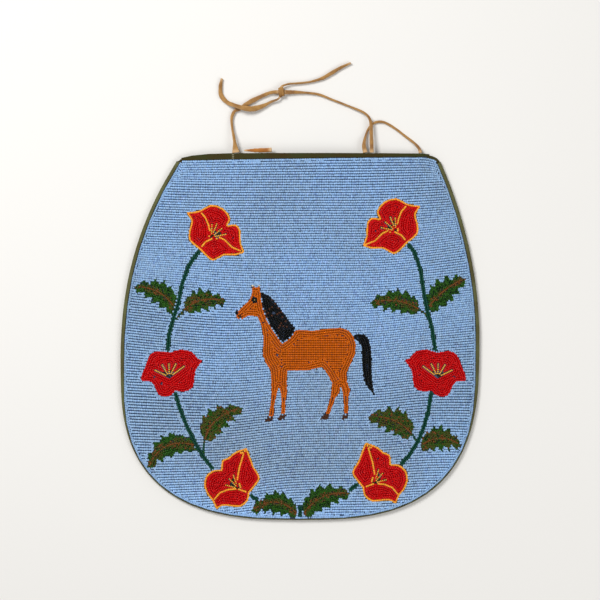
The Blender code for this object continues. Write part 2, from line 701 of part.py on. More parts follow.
def build_side_tape():
    """The tape folded round both edges, swept along the sewn edge as one channel."""
    slope = 2 * CROWN / CROWN_REACH
    inside = CANVAS_OVER + GAP
    outside = inside + TAPE
    section = [
        (0, 0), (LIP_UNDER, 0), (LIP_UNDER, TAPE), (TAPE, TAPE), (TAPE, inside),
        (LIP_OVER, inside + slope * LIP_OVER), (LIP_OVER, outside + slope * LIP_OVER),
        (TAPE_ROUND, outside), (0, outside - TAPE_ROUND),
    ]
    path = bpy.data.curves.new("side_tape", "CURVE")
    path.dimensions = "3D"
    path.twist_mode = "Z_UP"
    add_line(path, [(x, y, 0) for x, y in placed(SEAM)])
    profile = bpy.data.curves.new("tape_section", "CURVE")
    profile.dimensions = "2D"
    add_line(profile, [(-inwards, up, 0) for inwards, up in section], closed=True)
    section_object = helper("tape_section", profile)
    path.bevel_mode = "OBJECT"
    path.bevel_object = section_object
    path.use_fill_caps = True
    tape = add_piece("side_tape", solid_of(path), "olive_tape")
    boolean(tape, "DIFFERENCE", cutter("field_room", grown(FIELD, GAP), low=CANVAS_OVER))


def mouth_strip(span, foot):
    """Plan of a band along the mouth: the mouth edge above, a straight foot below."""
    between = [p for p in mouth_edge() if span[0] < p[0] < span[1]]
    edge = np.array(sorted(OUTLINE.tolist()))
    edge = edge[edge[:, 1] > min(LEFT_CORNER[1], RIGHT_CORNER[1]) - GAP]
    ends = [(x, float(np.interp(x, edge[:, 0], edge[:, 1]))) for x in span]
    return counter_clockwise(
        [(span[0], foot(span[0])), (span[1], foot(span[1])), ends[1], *between, ends[0]]
    )


def between_corners(insets):
    """The two ends of a band, each so far in from its corner of the mouth."""
    return (LEFT_CORNER[0] + insets[0], RIGHT_CORNER[0] - insets[1])


def cut_lip_ends(band, name, low, high):
    """Takes the inner lip away near both corners, where the two panels meet."""
    left, right = between_corners(INNER_LIP_INSETS)
    for side, near, far in (("left", -WIDTH, left), ("right", right, WIDTH)):
        corner = rectangle(near, far, HEIGHT - CUT_PAST, HEIGHT + CUT_PAST)
        boolean(band, "DIFFERENCE", cutter(f"{name}_{side}", corner, low, high))


def build_front_band():
    """The tape folded over the front panel's mouth edge."""
    plan = mouth_strip(between_corners(FRONT_BAND_INSETS), lambda x: field_top(x) + GAP)
    block = sheet_mesh("front_mouth_band", CANVAS_UNDER - GAP - TAPE, CANVAS_OVER + GAP + TAPE)
    band = add_piece("front_mouth_band", block, "olive_tape")
    boolean(band, "INTERSECT", cutter("front_band_plan", plan))
    slot = sheet_mesh("front_edge_room", CANVAS_UNDER - GAP, CANVAS_OVER + GAP)
    room = helper("front_edge_room", slot)
    boolean(room, "INTERSECT", cutter("front_edge_plan", grown(OUTLINE, -TAPE)))
    boolean(band, "DIFFERENCE", room)
    cut_lip_ends(band, "front_lip_end", CUT_FROM, CANVAS_OVER + GAP)


def build_back_band():
    """The tape folded over the back panel's mouth edge."""
    plan = mouth_strip(between_corners(BACK_BAND_INSETS), lambda x: HEIGHT - BACK_BAND_WIDTH)
    block = prism_mesh("back_mouth_band", plan, 0.0, BACK + GAP + TAPE)
    band = add_piece("back_mouth_band", block, "olive_tape")
    room = cutter("back_edge_room", grown(OUTLINE, -TAPE), low=TAPE, high=BACK + GAP)
    boolean(band, "DIFFERENCE", room)
    cut_lip_ends(band, "back_lip_end", BACK, CUT_TO)


# Beadwork

def motif_piece(name, outline, look, without=()):
    """A field of one bead colour, let in beside its neighbours."""
    mesh = MOTIF_SHEET.copy()
    mesh.name = name
    piece = add_piece(name, mesh, look)
    boolean(piece, "INTERSECT", cutter(f"{name}_outline", outline))
    for i, neighbour in enumerate(without):
        boolean(piece, "DIFFERENCE", cutter(f"{name}_room_{i}", grown(neighbour, GAP)))
    return piece


def build_flowers():
    """Six flowers. The outlined ones have petals inside a net of yellow rows."""
    wholes = {}
    for name, (design, at, mirrored) in FLOWERS.items():
        whole = counter_clockwise(smooth(drawn(design["whole"], at, mirrored)))
        wholes[name] = whole
        fan = counter_clockwise(drawn(fan_outline(*design["stamens"], STAMEN_WIDTH), at, mirrored))
        if "petals" not in design:
            motif_piece(f"{name}_petals", whole, "red_beads", [fan])
            motif_piece(f"{name}_stamens", fan, "yellow_beads")
            continue
        petals = {
            part: counter_clockwise(smooth(drawn(points, at, mirrored), steps=1))
            for part, points in design["petals"].items()
        }
        for part, petal in petals.items():
            cuts = [fan] if part in design["stamens_cross"] else []
            motif_piece(f"{name}_petal_{part}", petal, "red_beads", cuts)
        net = motif_piece(f"{name}_net", whole, "yellow_beads", petals.values())
        spread = helper(f"{name}_stamens", MOTIF_SHEET.copy())
        boolean(spread, "INTERSECT", cutter(f"{name}_fan", fan))
        boolean(net, "UNION", spread)
    return wholes


def touching(outline, others):
    """Those outlines whose box meets the box round this one."""
    low, high = outline.min(axis=0), outline.max(axis=0)
    return [o for o in others if (o.min(axis=0) < high).all() and (low < o.max(axis=0)).all()]


def build_greenery(flowers):
    """Stems that stop at the flowers, leaves that stop at the stems, and two short stem ends
    that stop at the leaves."""
    stems = {
        name: ribbon(route(on_bag(centre), STEM_STEP), STEM_WIDTH)
        for name, centre in STEMS.items()
    }
    leaves = {
        name: leaf_outline(*on_bag(ends), *(np.array(across) * SQUARE[0]))
        for name, (*ends, across) in LEAVES.items()
    }
    long_stems = [stem for name, stem in stems.items() if name not in STEM_ENDS]
    for name, stem in stems.items():
        others = [*flowers.values(), *(leaves.values() if name in STEM_ENDS else ())]
        motif_piece(name, stem, "stem_beads", touching(stem, others))
    for name, leaf in leaves.items():
        others = [*flowers.values(), *long_stems]
        motif_piece(name, leaf, "leaf_beads", touching(leaf, others))
    return {**stems, **leaves}


def build_horse():
    """The horse, with its mane, tail and hooves as fields of their own."""
    body = counter_clockwise(smooth(drawn(HORSE, HORSE_AT), steps=1))
    mane = counter_clockwise(smooth(drawn(MANE, HORSE_AT)))
    tail = counter_clockwise(smooth(drawn(TAIL, HORSE_AT)))
    motif_piece("horse_body", body, "chestnut_beads", [mane])
    motif_piece("horse_mane", mane, "black_beads")
    motif_piece("horse_tail", tail, "black_beads", [body])
    parts = {"horse_body": body, "horse_mane": mane, "horse_tail": tail}
    for name, points in HOOVES.items():
        hoof = counter_clockwise(drawn(points, HORSE_AT))
        parts[name] = hoof
        motif_piece(name, hoof, "hoof_beads")
    return parts


def build_ground(motifs):
    """The ridged ground of blue rows, with a clear place for every motif."""
    sheet = sheet_mesh("ground_beads", BEADS_UNDER, BEADS_UNDER + BEAD_HEIGHT, RIDGE_ROWS, GROOVE)
    ground = add_piece("ground_beads", sheet, "ground_beads")
    boolean(ground, "INTERSECT", cutter("field_outline", FIELD))
    for name, outline in motifs.items():
        cutter(f"{name}_place", grown(outline, GAP), group=PLACES)
    boolean(ground, "DIFFERENCE", PLACES)


# Thongs

def build_thongs():
    """Hide laces and the knot that joins the two long ones."""
    for name, points in THONGS.items():
        width = BRACE if name == "thong_brace" else THONG
        line = route(np.array(points) * MM - (0, HEIGHT / 2, 0), THONG_STEP_IN_WIDTHS * width)
        curve = bpy.data.curves.new(name, "CURVE")
        curve.dimensions = "3D"
        curve.bevel_depth = width / 2
        curve.bevel_resolution = THONG_ROUNDNESS
        curve.use_fill_caps = True
        add_line(curve, line)
        add_piece(name, curve, "hide")
    knot = bmesh.new()
    bmesh.ops.create_uvsphere(knot, u_segments=KNOT_SEGMENTS, v_segments=KNOT_RINGS, radius=1)
    bmesh.ops.scale(knot, vec=[size / 2 for size in KNOT], verts=knot.verts)
    centre = np.array(KNOT_AT) * MM - (0, HEIGHT / 2, 0)
    bmesh.ops.translate(knot, vec=centre, verts=knot.verts)
    mesh = bpy.data.meshes.new("thong_knot")
    knot.to_mesh(mesh)
    knot.free()
    add_piece("thong_knot", mesh, "hide")


clear_scene()
BAG = new_collection("beaded_flat_bag")
CUTTERS = new_collection("cutters")
PLACES = new_collection("motif_places")
MOTIF_SHEET = sheet_mesh("motif_sheet", BEADS_UNDER, BEADS_UNDER + MOTIF_HEIGHT)

build_back()
build_front()
build_side_tape()
build_front_band()
build_back_band()
flower_outlines = build_flowers()
green_outlines = build_greenery(flower_outlines)
horse_outlines = build_horse()
build_ground({**flower_outlines, **green_outlines, **horse_outlines})
build_thongs()
for piece in BAG.objects:
    if piece.type == "MESH" and piece.modifiers:
        merge_flat_faces(piece)
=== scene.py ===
# %% [markdown]
# # A flat beaded bag, made in Blender
#
# The real bag is a canvas front covered with rows of small glass beads, a
# plain back, an olive tape folded over the edges, and hide thongs at the mouth.
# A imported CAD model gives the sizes. This lesson dresses that model with about
# 29,000 single beads, worn tape, cloth, and flat twisted thongs.
#
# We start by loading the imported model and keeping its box, because what we
# add should hardly make the bag larger.

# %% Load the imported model
import math

import bmesh
import bpy
import numpy as np
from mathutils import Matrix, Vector
from mathutils.bvhtree import BVHTree


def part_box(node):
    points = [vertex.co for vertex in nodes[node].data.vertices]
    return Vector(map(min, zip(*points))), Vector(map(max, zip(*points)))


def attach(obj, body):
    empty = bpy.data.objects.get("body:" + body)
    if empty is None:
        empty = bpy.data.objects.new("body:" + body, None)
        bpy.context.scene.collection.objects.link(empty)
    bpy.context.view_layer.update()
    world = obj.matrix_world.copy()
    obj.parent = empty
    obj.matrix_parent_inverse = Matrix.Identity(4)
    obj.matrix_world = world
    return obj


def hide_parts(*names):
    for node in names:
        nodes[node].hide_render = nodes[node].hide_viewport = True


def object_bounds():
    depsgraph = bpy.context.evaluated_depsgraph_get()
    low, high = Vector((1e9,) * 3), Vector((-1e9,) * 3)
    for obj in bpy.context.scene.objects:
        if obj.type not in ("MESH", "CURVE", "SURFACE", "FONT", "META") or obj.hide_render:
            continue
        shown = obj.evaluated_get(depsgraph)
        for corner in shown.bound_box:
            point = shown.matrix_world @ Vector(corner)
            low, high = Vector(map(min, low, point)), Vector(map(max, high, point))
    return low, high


MM = 0.001

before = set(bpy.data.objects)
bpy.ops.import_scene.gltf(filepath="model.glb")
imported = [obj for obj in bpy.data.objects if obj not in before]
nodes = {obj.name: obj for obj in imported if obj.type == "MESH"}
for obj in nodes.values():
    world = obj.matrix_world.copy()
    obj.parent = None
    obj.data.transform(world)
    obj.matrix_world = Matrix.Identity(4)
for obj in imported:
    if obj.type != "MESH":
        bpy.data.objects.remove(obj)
cad_low, cad_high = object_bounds()
BAG_HEIGHT = 0.306
print(len(nodes), "nodes, box in mm:", [round((b - a) / MM, 1) for a, b in zip(cad_low, cad_high)])

# %% [markdown]
# ## Camera
#
# The bag was photographed from straight above, so the camera hangs over it
# and looks down. A long lens keeps the sides nearly parallel.

# %% Hang the camera
LENS_MM = 100
SENSOR_MM = 36
VIEW_ACROSS = 0.498
VIEW_MIDDLE_Y = 0.0308

camera_data = bpy.data.cameras.new("camera_above")
camera_data.lens = LENS_MM
camera_data.sensor_width = SENSOR_MM
camera = bpy.data.objects.new("camera_above", camera_data)
bpy.context.scene.collection.objects.link(camera)
camera.location = (0, VIEW_MIDDLE_Y, cad_high[2] + VIEW_ACROSS * LENS_MM / SENSOR_MM)
bpy.context.scene.camera = camera
print("camera height in m:", round(camera.location[2], 3))

# %% [markdown]
# ## Small helpers
#
# Every piece goes through one helper, which puts it in the scene, lets it ride
# on the bag, gives it its finish and hides the CAD nodes that it stands for.

# %% Adding a piece
materials = {}


def add_piece(name, mesh, finishes, stands_for=()):
    """Puts a mesh in the scene as a piece of the bag."""
    piece = bpy.data.objects.new(name, mesh)
    bpy.context.scene.collection.objects.link(piece)
    for finish in finishes:
        mesh.materials.append(materials[finish])
    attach(piece, "root")
    if stands_for:
        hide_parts(*stands_for)
    return piece


# %% Small helpers for points and meshes
def unit(vectors):
    """The same directions, each of length one."""
    return vectors / np.maximum(np.linalg.norm(vectors, axis=-1, keepdims=True), 1e-12)


def on_bag(places):
    """Places in mm from the middle of the bottom edge, turned into the model's metres."""
    places = np.array(places, float) * MM
    places[..., 1] -= BAG_HEIGHT / 2
    return places


def points_of(mesh):
    spots = np.empty(len(mesh.vertices) * 3)
    mesh.vertices.foreach_get("co", spots)
    return spots.reshape(-1, 3)


def store(mesh, title, values):
    """Keeps one value for each point of a mesh, which a finish can read."""
    mesh.attributes.new(title, "FLOAT", "POINT").data.foreach_set("value", values)


# %% [markdown]
# ## Finishes
#
# Colours are written as they look on a screen, and turned into the linear
# values that shaders use. Effects that several finishes need, such as a
# woven rib or old stains, are node groups that are built once.

# %% Colours and node helpers
WHITE, BLACK = (1.0, 1.0, 1.0, 1.0), (0.0, 0.0, 0.0, 1.0)


def shade(hexadecimal):
    """A colour as seen on a screen, in linear values."""
    values = [int(hexadecimal[i : i + 2], 16) / 255 for i in (0, 2, 4)]
    return [v / 12.92 if v <= 0.04045 else ((v + 0.055) / 1.055) ** 2.4 for v in values] + [1.0]


def feed(tree, made, inputs):
    """Fills a node's inputs. Each is a value, or a socket to link to it."""
    for key, value in inputs.items():
        if isinstance(value, bpy.types.NodeSocket):
            tree.links.new(value, made.inputs[key])
        else:
            made.inputs[key].default_value = value
    return made


def node(tree, kind, inputs=None, **settings):
    made = tree.nodes.new(f"ShaderNode{kind}")
    for key, value in settings.items():
        setattr(made, key, value)
    return feed(tree, made, inputs or {})


def mix(tree, factor, one, other, blend="MIX"):
    """Mixes two colours, which are inputs 6 and 7 of a mix node. Its output 2 is the result."""
    made = node(tree, "Mix", data_type="RGBA", blend_type=blend)
    return feed(tree, made, {0: factor, 6: one, 7: other}).outputs[2]


def reckon(tree, operation, *values):
    """One step of arithmetic."""
    return node(tree, "Math", dict(enumerate(values)), operation=operation).outputs[0]


def new_group(name, inputs, outputs):
    """A node group. A socket that starts as four numbers is a colour, any other a value."""
    group = bpy.data.node_groups.new(name, "ShaderNodeTree")
    for way, sockets in (("INPUT", inputs), ("OUTPUT", outputs)):
        for title, start in sockets.items():
            kind = "NodeSocketColor" if isinstance(start, tuple) else "NodeSocketFloat"
            group.interface.new_socket(title, in_out=way, socket_type=kind).default_value = start
    print("group:", name)
    return group, group.nodes.new("NodeGroupInput").outputs, group.nodes.new("NodeGroupOutput")


def new_finish(name, values):
    """A finish, its node tree and its shader, which gets the values."""
    made = bpy.data.materials.new(name)
    made.use_nodes = True
    tree = made.node_tree
    return made, tree, feed(tree, tree.nodes["Principled BSDF"], values)


# %% [markdown]
# Glass beads differ a little from one to the next. Each bead carries a tint,
# made with its mesh, and this group multiplies the bead's colour by it. Fine
# noise adds the faint streaks of drawn glass.

# %% Group: the tone of one bead
bead_tone, inlet, outlet = new_group(
    "bead_tone", {"Colour": WHITE, "Streak": 0.1}, {"Colour": WHITE, "Roughness": 0.3}
)
tint = node(bead_tone, "Attribute", attribute_name="bead_tint").outputs["Color"]
tinted = mix(bead_tone, 1.0, inlet["Colour"], tint, "MULTIPLY")
where = node(bead_tone, "TexCoord").outputs["Object"]
streaks = node(bead_tone, "TexNoise", {"Vector": where, "Scale": 900.0, "Detail": 1.0})
darker = node(bead_tone, "HueSaturation", {"Color": tinted, "Value": 0.6}).outputs["Color"]
amount = reckon(bead_tone, "MULTIPLY", streaks.outputs["Fac"], inlet["Streak"])
gloss = node(bead_tone, "MapRange", {
    "Value": streaks.outputs["Fac"], "To Min": 0.18, "To Max": 0.4,
})
feed(bead_tone, outlet, {
    "Colour": mix(bead_tone, amount, tinted, darker), "Roughness": gloss.outputs["Result"],
})

# %% Finishes of the beads
BEAD_COLOURS = {
    "blue": "9AC0EB",
    # painted shade: a darker blue for crowded beads by the edges, in place of the shaded seams they
    # hide
    "edge_blue": "8CB0DA",
    "red": "BE0408",
    "yellow": "F0A030",
    "stamen": "F2B23C",
    "leaf": "265012",
    "dark_leaf": "18380E",
    "leaf_brown": "6C421C",
    "olive_brown": "464018",
    "olive": "3C4A14",
    "stem": "124434",
    "dark_centre": "26240E",
    "chestnut": "C05C06",
    "black": "0C0D0B",
    "hoof": "4A2C1C",
    "white": "DCCCAC",
    "eye_light": "8C8458",
}

GLASS = {"Specular IOR Level": 0.14, "Coat Weight": 0.04, "Coat Roughness": 0.12}

for look, colour in BEAD_COLOURS.items():
    materials[look], tree, principled = new_finish(f"{look}_glass", GLASS)
    tone = node(tree, "Group", node_tree=bead_tone)
    feed(tree, tone, {"Colour": shade(colour)})
    feed(tree, principled, {
        "Base Color": tone.outputs["Colour"], "Roughness": tone.outputs["Roughness"],
    })
print(len(materials), "bead finishes")

# %% [markdown]
# Tape and cloth are woven. The ribs of the tape cross it, so they follow a
# value named `along`, which each tape mesh stores: the distance travelled
# along the tape, in metres. Cloth takes its two sets of threads from the
# object's own coordinates.

# %% Group: ribs along a tape
tape_ribs, inlet, outlet = new_group("tape_ribs", {"Pitch": 0.001}, {"Height": 0.0})
along = node(tape_ribs, "Attribute", attribute_name="along").outputs["Fac"]
turns = reckon(tape_ribs, "DIVIDE", along, inlet["Pitch"])
wave = reckon(tape_ribs, "SINE", reckon(tape_ribs, "MULTIPLY", turns, 2 * math.pi))
level = node(tape_ribs, "MapRange", {"Value": wave, "From Min": -1.0})
feed(tape_ribs, outlet, {"Height": level.outputs["Result"]})

# %% Group: a plain weave
plain_weave, inlet, outlet = new_group("plain_weave", {"Threads": 900.0}, {"Height": 0.0})
where = node(plain_weave, "TexCoord").outputs["Object"]
threads = [
    node(plain_weave, "TexWave", {"Vector": where, "Scale": inlet["Threads"], "Distortion": 0.6},
         bands_direction=direction).outputs["Fac"]
    for direction in ("X", "Y")
]
feed(plain_weave, outlet, {"Height": reckon(plain_weave, "MULTIPLY", *threads)})

# %% Group: stains and fading
old_stains, inlet, outlet = new_group(
    "old_stains", {"Colour": WHITE, "Stain": BLACK, "Size": 60.0, "Cover": 0.5}, {"Colour": WHITE}
)
where = node(old_stains, "TexCoord").outputs["Object"]
patches = node(old_stains, "TexNoise", {
    "Vector": where, "Scale": inlet["Size"], "Detail": 6.0, "Roughness": 0.65,
})
sharper = node(old_stains, "MapRange", {
    "Value": patches.outputs["Fac"], "From Min": 0.4, "From Max": 0.65,
})
cover = reckon(old_stains, "MULTIPLY", sharper.outputs["Result"], inlet["Cover"])
feed(old_stains, outlet, {"Colour": mix(old_stains, cover, inlet["Colour"], inlet["Stain"])})


# %% Finishes of tape, cloth, canvas and thread
def stained(tree, colour, stain, size, cover):
    stains = node(tree, "Group", node_tree=old_stains)
    feed(tree, stains, {
        "Colour": shade(colour), "Stain": shade(stain), "Size": size, "Cover": cover,
    })
    return stains.outputs["Colour"]


def woven(name, colour, stain, relief, scale, depth, size=60.0, cover=0.6):
    """A rough finish with stains in its colour, painted shade in the valleys of its weave, and a
    woven relief in its normal.
    """
    materials[name], tree, principled = new_finish(
        name, {"Roughness": 0.92, "Specular IOR Level": 0.2}
    )
    raised = feed(tree, node(tree, "Group", node_tree=relief), {0: scale}).outputs["Height"]
    bump = node(tree, "Bump", {"Height": raised, "Strength": 0.8, "Distance": depth})
    # painted shade: the colour darkens where the weave's relief is low, in its valleys
    valley_shade = node(tree, "MapRange", {"Value": raised, "To Min": 0.55}).outputs["Result"]
    stains_and_valley_shade = mix(tree, 1.0, stained(tree, colour, stain, size, cover), valley_shade, "MULTIPLY")
    feed(tree, principled, {"Base Color": stains_and_valley_shade, "Normal": bump.outputs["Normal"]})


woven("olive_ribbed_tape", "6A6C44", "4C3E22", tape_ribs, 0.0009, 0.0002)
woven("dark_ribbed_tape", "3E421F", "462F0E", tape_ribs, 0.0009, 0.0002, 45.0, 0.7)
# painted shade: the front canvas is a dark slate blue, darker than canvas is, so that the gaps
# between the beads look shaded
woven("slate_canvas", "66789A", "54668A", plain_weave, 900.0, 0.0001)
woven("back_canvas", "6C6650", "4C4636", plain_weave, 500.0, 0.0002, 25.0, 0.7)
woven("thread", "B8B190", "8A8466", plain_weave, 2000.0, 0.00005)
print(len(materials), "finishes")


# %% Finishes of the hide
def tanned(name, colour, stain, rim_colour):
    """Old hide: stained on the face, paler along its edges and at its ends."""
    materials[name], tree, principled = new_finish(name, {"Roughness": 0.7})
    edges = node(tree, "Attribute", attribute_name="cut_edge").outputs["Fac"]
    paler = mix(tree, edges, stained(tree, colour, stain, 110.0, 0.9), shade(rim_colour))
    where = node(tree, "TexCoord").outputs["Object"]
    grain = node(tree, "TexNoise", {"Vector": where, "Scale": 1400.0, "Detail": 3.0})
    bump = node(tree, "Bump", {"Height": grain.outputs["Fac"], "Strength": 0.6, "Distance": 0.0002})
    feed(tree, principled, {"Base Color": paler, "Normal": bump.outputs["Normal"]})


tanned("tanned_hide", "A67A3C", "6E4214", "C09A6C")
tanned("orange_hide", "B0690F", "8C4E0E", "D0AC80")
print(len(materials), "finishes in all")

# %% [markdown]
# ## Hide thongs
#
# Two long laces leave the mouth and meet in a knot, a thin one runs beside
# them, and a short end lies along the mouth. Real laces are cut from flat
# hide, so each is a flat strip that widens, narrows and twists. A curve with
# a round bevel would look like rope. The routes are the CAD model's own.

# %% Routes of the thongs, in millimetres from the middle of the bottom edge
THONGS = {
    "thong_left": [(-53.4, 306.5, 7.2), (-54.9, 318, 5.6), (-56.6, 327.4, 3.4), (-57.1, 336, 2.0),
                   (-54.7, 341.6, 1.8), (-49.9, 344, 1.7), (-42.5, 349, 1.7), (-33.3, 353.6, 1.8),
                   (-25, 357, 2.4), (-19.6, 357.6, 3.0), (-16.6, 357.5, 3.0)],
    "thong_left_tail": [(-16.2, 360.2, 3.2), (-14.8, 362.5, 3.2), (-9, 364.4, 2.8),
                        (-4.3, 364.8, 2.2), (7.3, 366, 1.8), (18.1, 369, 1.7), (26.4, 373.6, 1.8),
                        (33.9, 378, 1.9), (42.5, 382, 1.8)],
    "thong_right": [(59.8, 306.5, 7.9), (59.5, 318, 6.6), (59.3, 326, 5.4), (59.1, 331.6, 4.9),
                    (57.1, 336.6, 4.3), (52.6, 340.7, 3.4), (41.8, 345.4, 2.2),
                    (26.4, 351.5, 1.8), (16.5, 355.4, 1.8), (7.3, 356.9, 1.9),
                    (-4.3, 357.5, 2.4), (-12.2, 357.3, 3.0), (-15.2, 357.3, 3.0)],
    "thong_right_tail": [(-16.4, 354.4, 3.2), (-18.4, 351.6, 3.2), (-24.2, 349.4, 2.4),
                         (-30.3, 346.3, 2.2), (-36.6, 344, 3.2), (-42.5, 343.2, 4.8),
                         (-48.5, 344.2, 5.4), (-54.9, 346.3, 4.9), (-60.7, 348.8, 3.0),
                         (-65.9, 354.8, 1.9), (-66.5, 362.3, 1.7), (-65.3, 369, 1.7)],
    "thong_brace": [(100.6, 306.5, 4.4), (99.2, 310.5, 4.0), (95.3, 315, 2.9),
                    (87.9, 320.8, 1.6), (80.4, 326.6, 1.3), (72.9, 331.3, 1.25),
                    (67.5, 332.9, 1.25), (61.5, 331.6, 1.25), (57.1, 326.6, 1.4),
                    (54.4, 319.3, 3.2), (53.3, 312.5, 6.0), (54.4, 306.5, 7.8)],
    "thong_left_end": [(-46.6, 308.3, 7.6), (-39.4, 308.4, 7.2), (-31, 308.6, 6.4),
                       (-23.6, 309, 5.4)],
}

# %% Shape of the thongs: widths in mm and twists in degrees, from start to end
THONG_SHAPES = {
    "thong_left": ([6.2, 3.0, 2.0, 2.0, 2.6, 3.2, 3.8, 3.3, 3.0, 2.8],
                   [0, 10, 35, 20, 0, 10, 0, 0, 5, 0]),
    "thong_left_tail": ([1.8, 1.6, 1.6, 1.8, 2.8, 3.4, 2.6, 1.6], [0, 30, 30, 20, 0, 0, 20, 30]),
    "thong_right": ([3.4, 3.2, 3.0, 2.4, 1.9, 1.7, 1.7, 1.8, 1.9, 2.0, 3.1, 3.6],
                    [0, 0, 0, 10, 20, 25, 20, 20, 10, 0, 0, 0]),
    "thong_right_tail": ([1.6, 1.8, 2.8, 4.4, 4.8, 4.0, 3.3, 3.6, 3.8, 3.2, 2.0],
                         [20, 30, 10, 0, 0, 10, 20, 10, 0, 10, 30]),
    "thong_brace": ([2.8, 2.2, 2.0, 2.0, 1.9, 2.0, 2.0, 2.0, 1.8, 2.0, 3.0, 4.0],
                    [0, 10, 20, 20, 30, 20, 10, 10, 30, 30, 10, 0]),
    "thong_left_end": ([1.2, 3.0, 3.6, 3.8], [0, 5, 10, 0]),
}
HIDE_THICKNESS = 1.5 * MM
STRIP_STEP = 0.9 * MM


# %% A smooth line through points
def smooth_route(points, spacing):
    """A curve through the points, in steps of about the given length."""
    spots = np.array(points, float)
    ends = np.vstack([2 * spots[0] - spots[1], spots, 2 * spots[-1] - spots[-2]])
    runs = []
    for i in range(1, len(ends) - 2):
        a, b = ends[i], ends[i + 1]
        lead, trail = (b - ends[i - 1]) / 2, (ends[i + 2] - a) / 2
        steps = max(1, round(float(np.linalg.norm(b - a)) / spacing))
        t = (np.arange(steps) / steps)[:, None]
        start = (2 * t**3 - 3 * t**2 + 1) * a + (t**3 - 2 * t**2 + t) * lead
        runs.append(start + (3 * t**2 - 2 * t**3) * b + (t**3 - t**2) * trail)
    return np.vstack([*runs, spots[-1:]])


def length_of(line):
    return float(np.linalg.norm(np.diff(line, axis=0), axis=1).sum())


def travelled_along(line):
    """The distance from the line's start to each of its points."""
    return np.concatenate([[0], np.cumsum(np.linalg.norm(np.diff(line, axis=0), axis=1))])


# %% [markdown]
# A strip's cross-section is a flat rounded shape, swept along the route. Its
# edges wander a little, as hide does where a knife has cut it.

# %% Sweeping a flat strip
SECTION_POINTS = 12
DRIFT_POINTS = 24
DRIFT, ROUGHNESS = 0.1, 0.04
PALE_END, PALE_RISE = 2.5 * MM, 1.5
PALE_EDGE, EDGE_FALL = 0.7, 6
FLATNESS, ROUNDING = 0.6, 0.8  # powers that give the section its flat rounded shape


def mesh_of(name, corners, faces):
    mesh = bpy.data.meshes.new(name)
    mesh.from_pydata([tuple(c) for c in corners], [], faces)
    mesh.validate()
    mesh.polygons.foreach_set("use_smooth", [True] * len(mesh.polygons))
    mesh.update()
    return mesh


def swept_faces(rings, around):
    """The faces of a closed tube, whose points go round ring after ring."""
    faces = []
    for i in range(rings - 1):
        for k in range(around):
            a, b = i * around + k, i * around + (k + 1) % around
            faces.append((a, b, b + around, a + around))
    ends = tuple(range(around))[::-1], tuple(range((rings - 1) * around, rings * around))
    return [*faces, *ends]


def strip_mesh(name, line, widths, twists, thickness, seed):
    """A flat strip along a line. Widths and twists are spread evenly from start to end."""
    rng = np.random.default_rng(seed)
    ahead = unit(np.gradient(line, axis=0))
    aside = unit(np.cross([0.0, 0.0, 1.0], ahead))
    over = np.cross(ahead, aside)
    share = np.linspace(0, 1, len(line))
    width = np.interp(share, np.linspace(0, 1, len(widths)), widths)
    twist = np.radians(np.interp(share, np.linspace(0, 1, len(twists)), twists))
    broad = aside * np.cos(twist)[:, None] + over * np.sin(twist)[:, None]
    thin = over * np.cos(twist)[:, None] - aside * np.sin(twist)[:, None]
    drift_at = np.linspace(0, 1, DRIFT_POINTS)
    drift = np.interp(share, drift_at, rng.uniform(1 - DRIFT, 1 + DRIFT, DRIFT_POINTS))
    to_end = np.minimum(share, 1 - share) * length_of(line)
    at_ends = np.clip(PALE_RISE - to_end / PALE_END, 0, 1)
    corners, edge_on = [], []
    for angle in np.linspace(0, 2 * math.pi, SECTION_POINTS, endpoint=False):
        u = math.copysign(abs(math.cos(angle)) ** FLATNESS, math.cos(angle))
        v = math.copysign(abs(math.sin(angle)) ** ROUNDING, math.sin(angle))
        rough = 1 + rng.uniform(-ROUGHNESS, ROUGHNESS, len(line))
        offset = broad * (u * width * drift * rough / 2)[:, None]
        corners.append(line + offset + thin * (v * thickness / 2))
        edge_on.append(np.maximum(PALE_EDGE * abs(u) ** EDGE_FALL, at_ends))
    corners = np.stack(corners, axis=1).reshape(-1, 3)
    mesh = mesh_of(name, corners, swept_faces(len(line), SECTION_POINTS))
    store(mesh, "cut_edge", np.stack(edge_on, axis=1).ravel())
    return mesh


# %% Cut the thongs
thong_lines = {}
for seed, (name, points) in enumerate(THONGS.items()):
    line = thong_lines[name] = smooth_route(on_bag(points), STRIP_STEP)
    widths, twists = THONG_SHAPES[name]
    mesh = strip_mesh(f"{name}_strip", line, np.array(widths) * MM, twists, HIDE_THICKNESS, seed)
    finish = "orange_hide" if name == "thong_left_end" else "tanned_hide"
    add_piece(f"{name}_strip", mesh, [finish], [name])
    print(name, "length in mm:", round(length_of(line) / MM, 1))

# %% [markdown]
# The knot is one more turn of the same strip. It goes round both laces about
# twice, so it is swept along a short coil across them.

# %% Tie the knot
KNOT_AT = on_bag((-15.9, 357.3, 3.0))
KNOT_TURNS = 2.3
KNOT_START = 0.6
KNOT_REACH = (1.3 * MM, 3.7 * MM, 2.0 * MM)
KNOT_STRIP = (1.2 * MM, 0.7 * MM)
KNOT_RINGS = 90

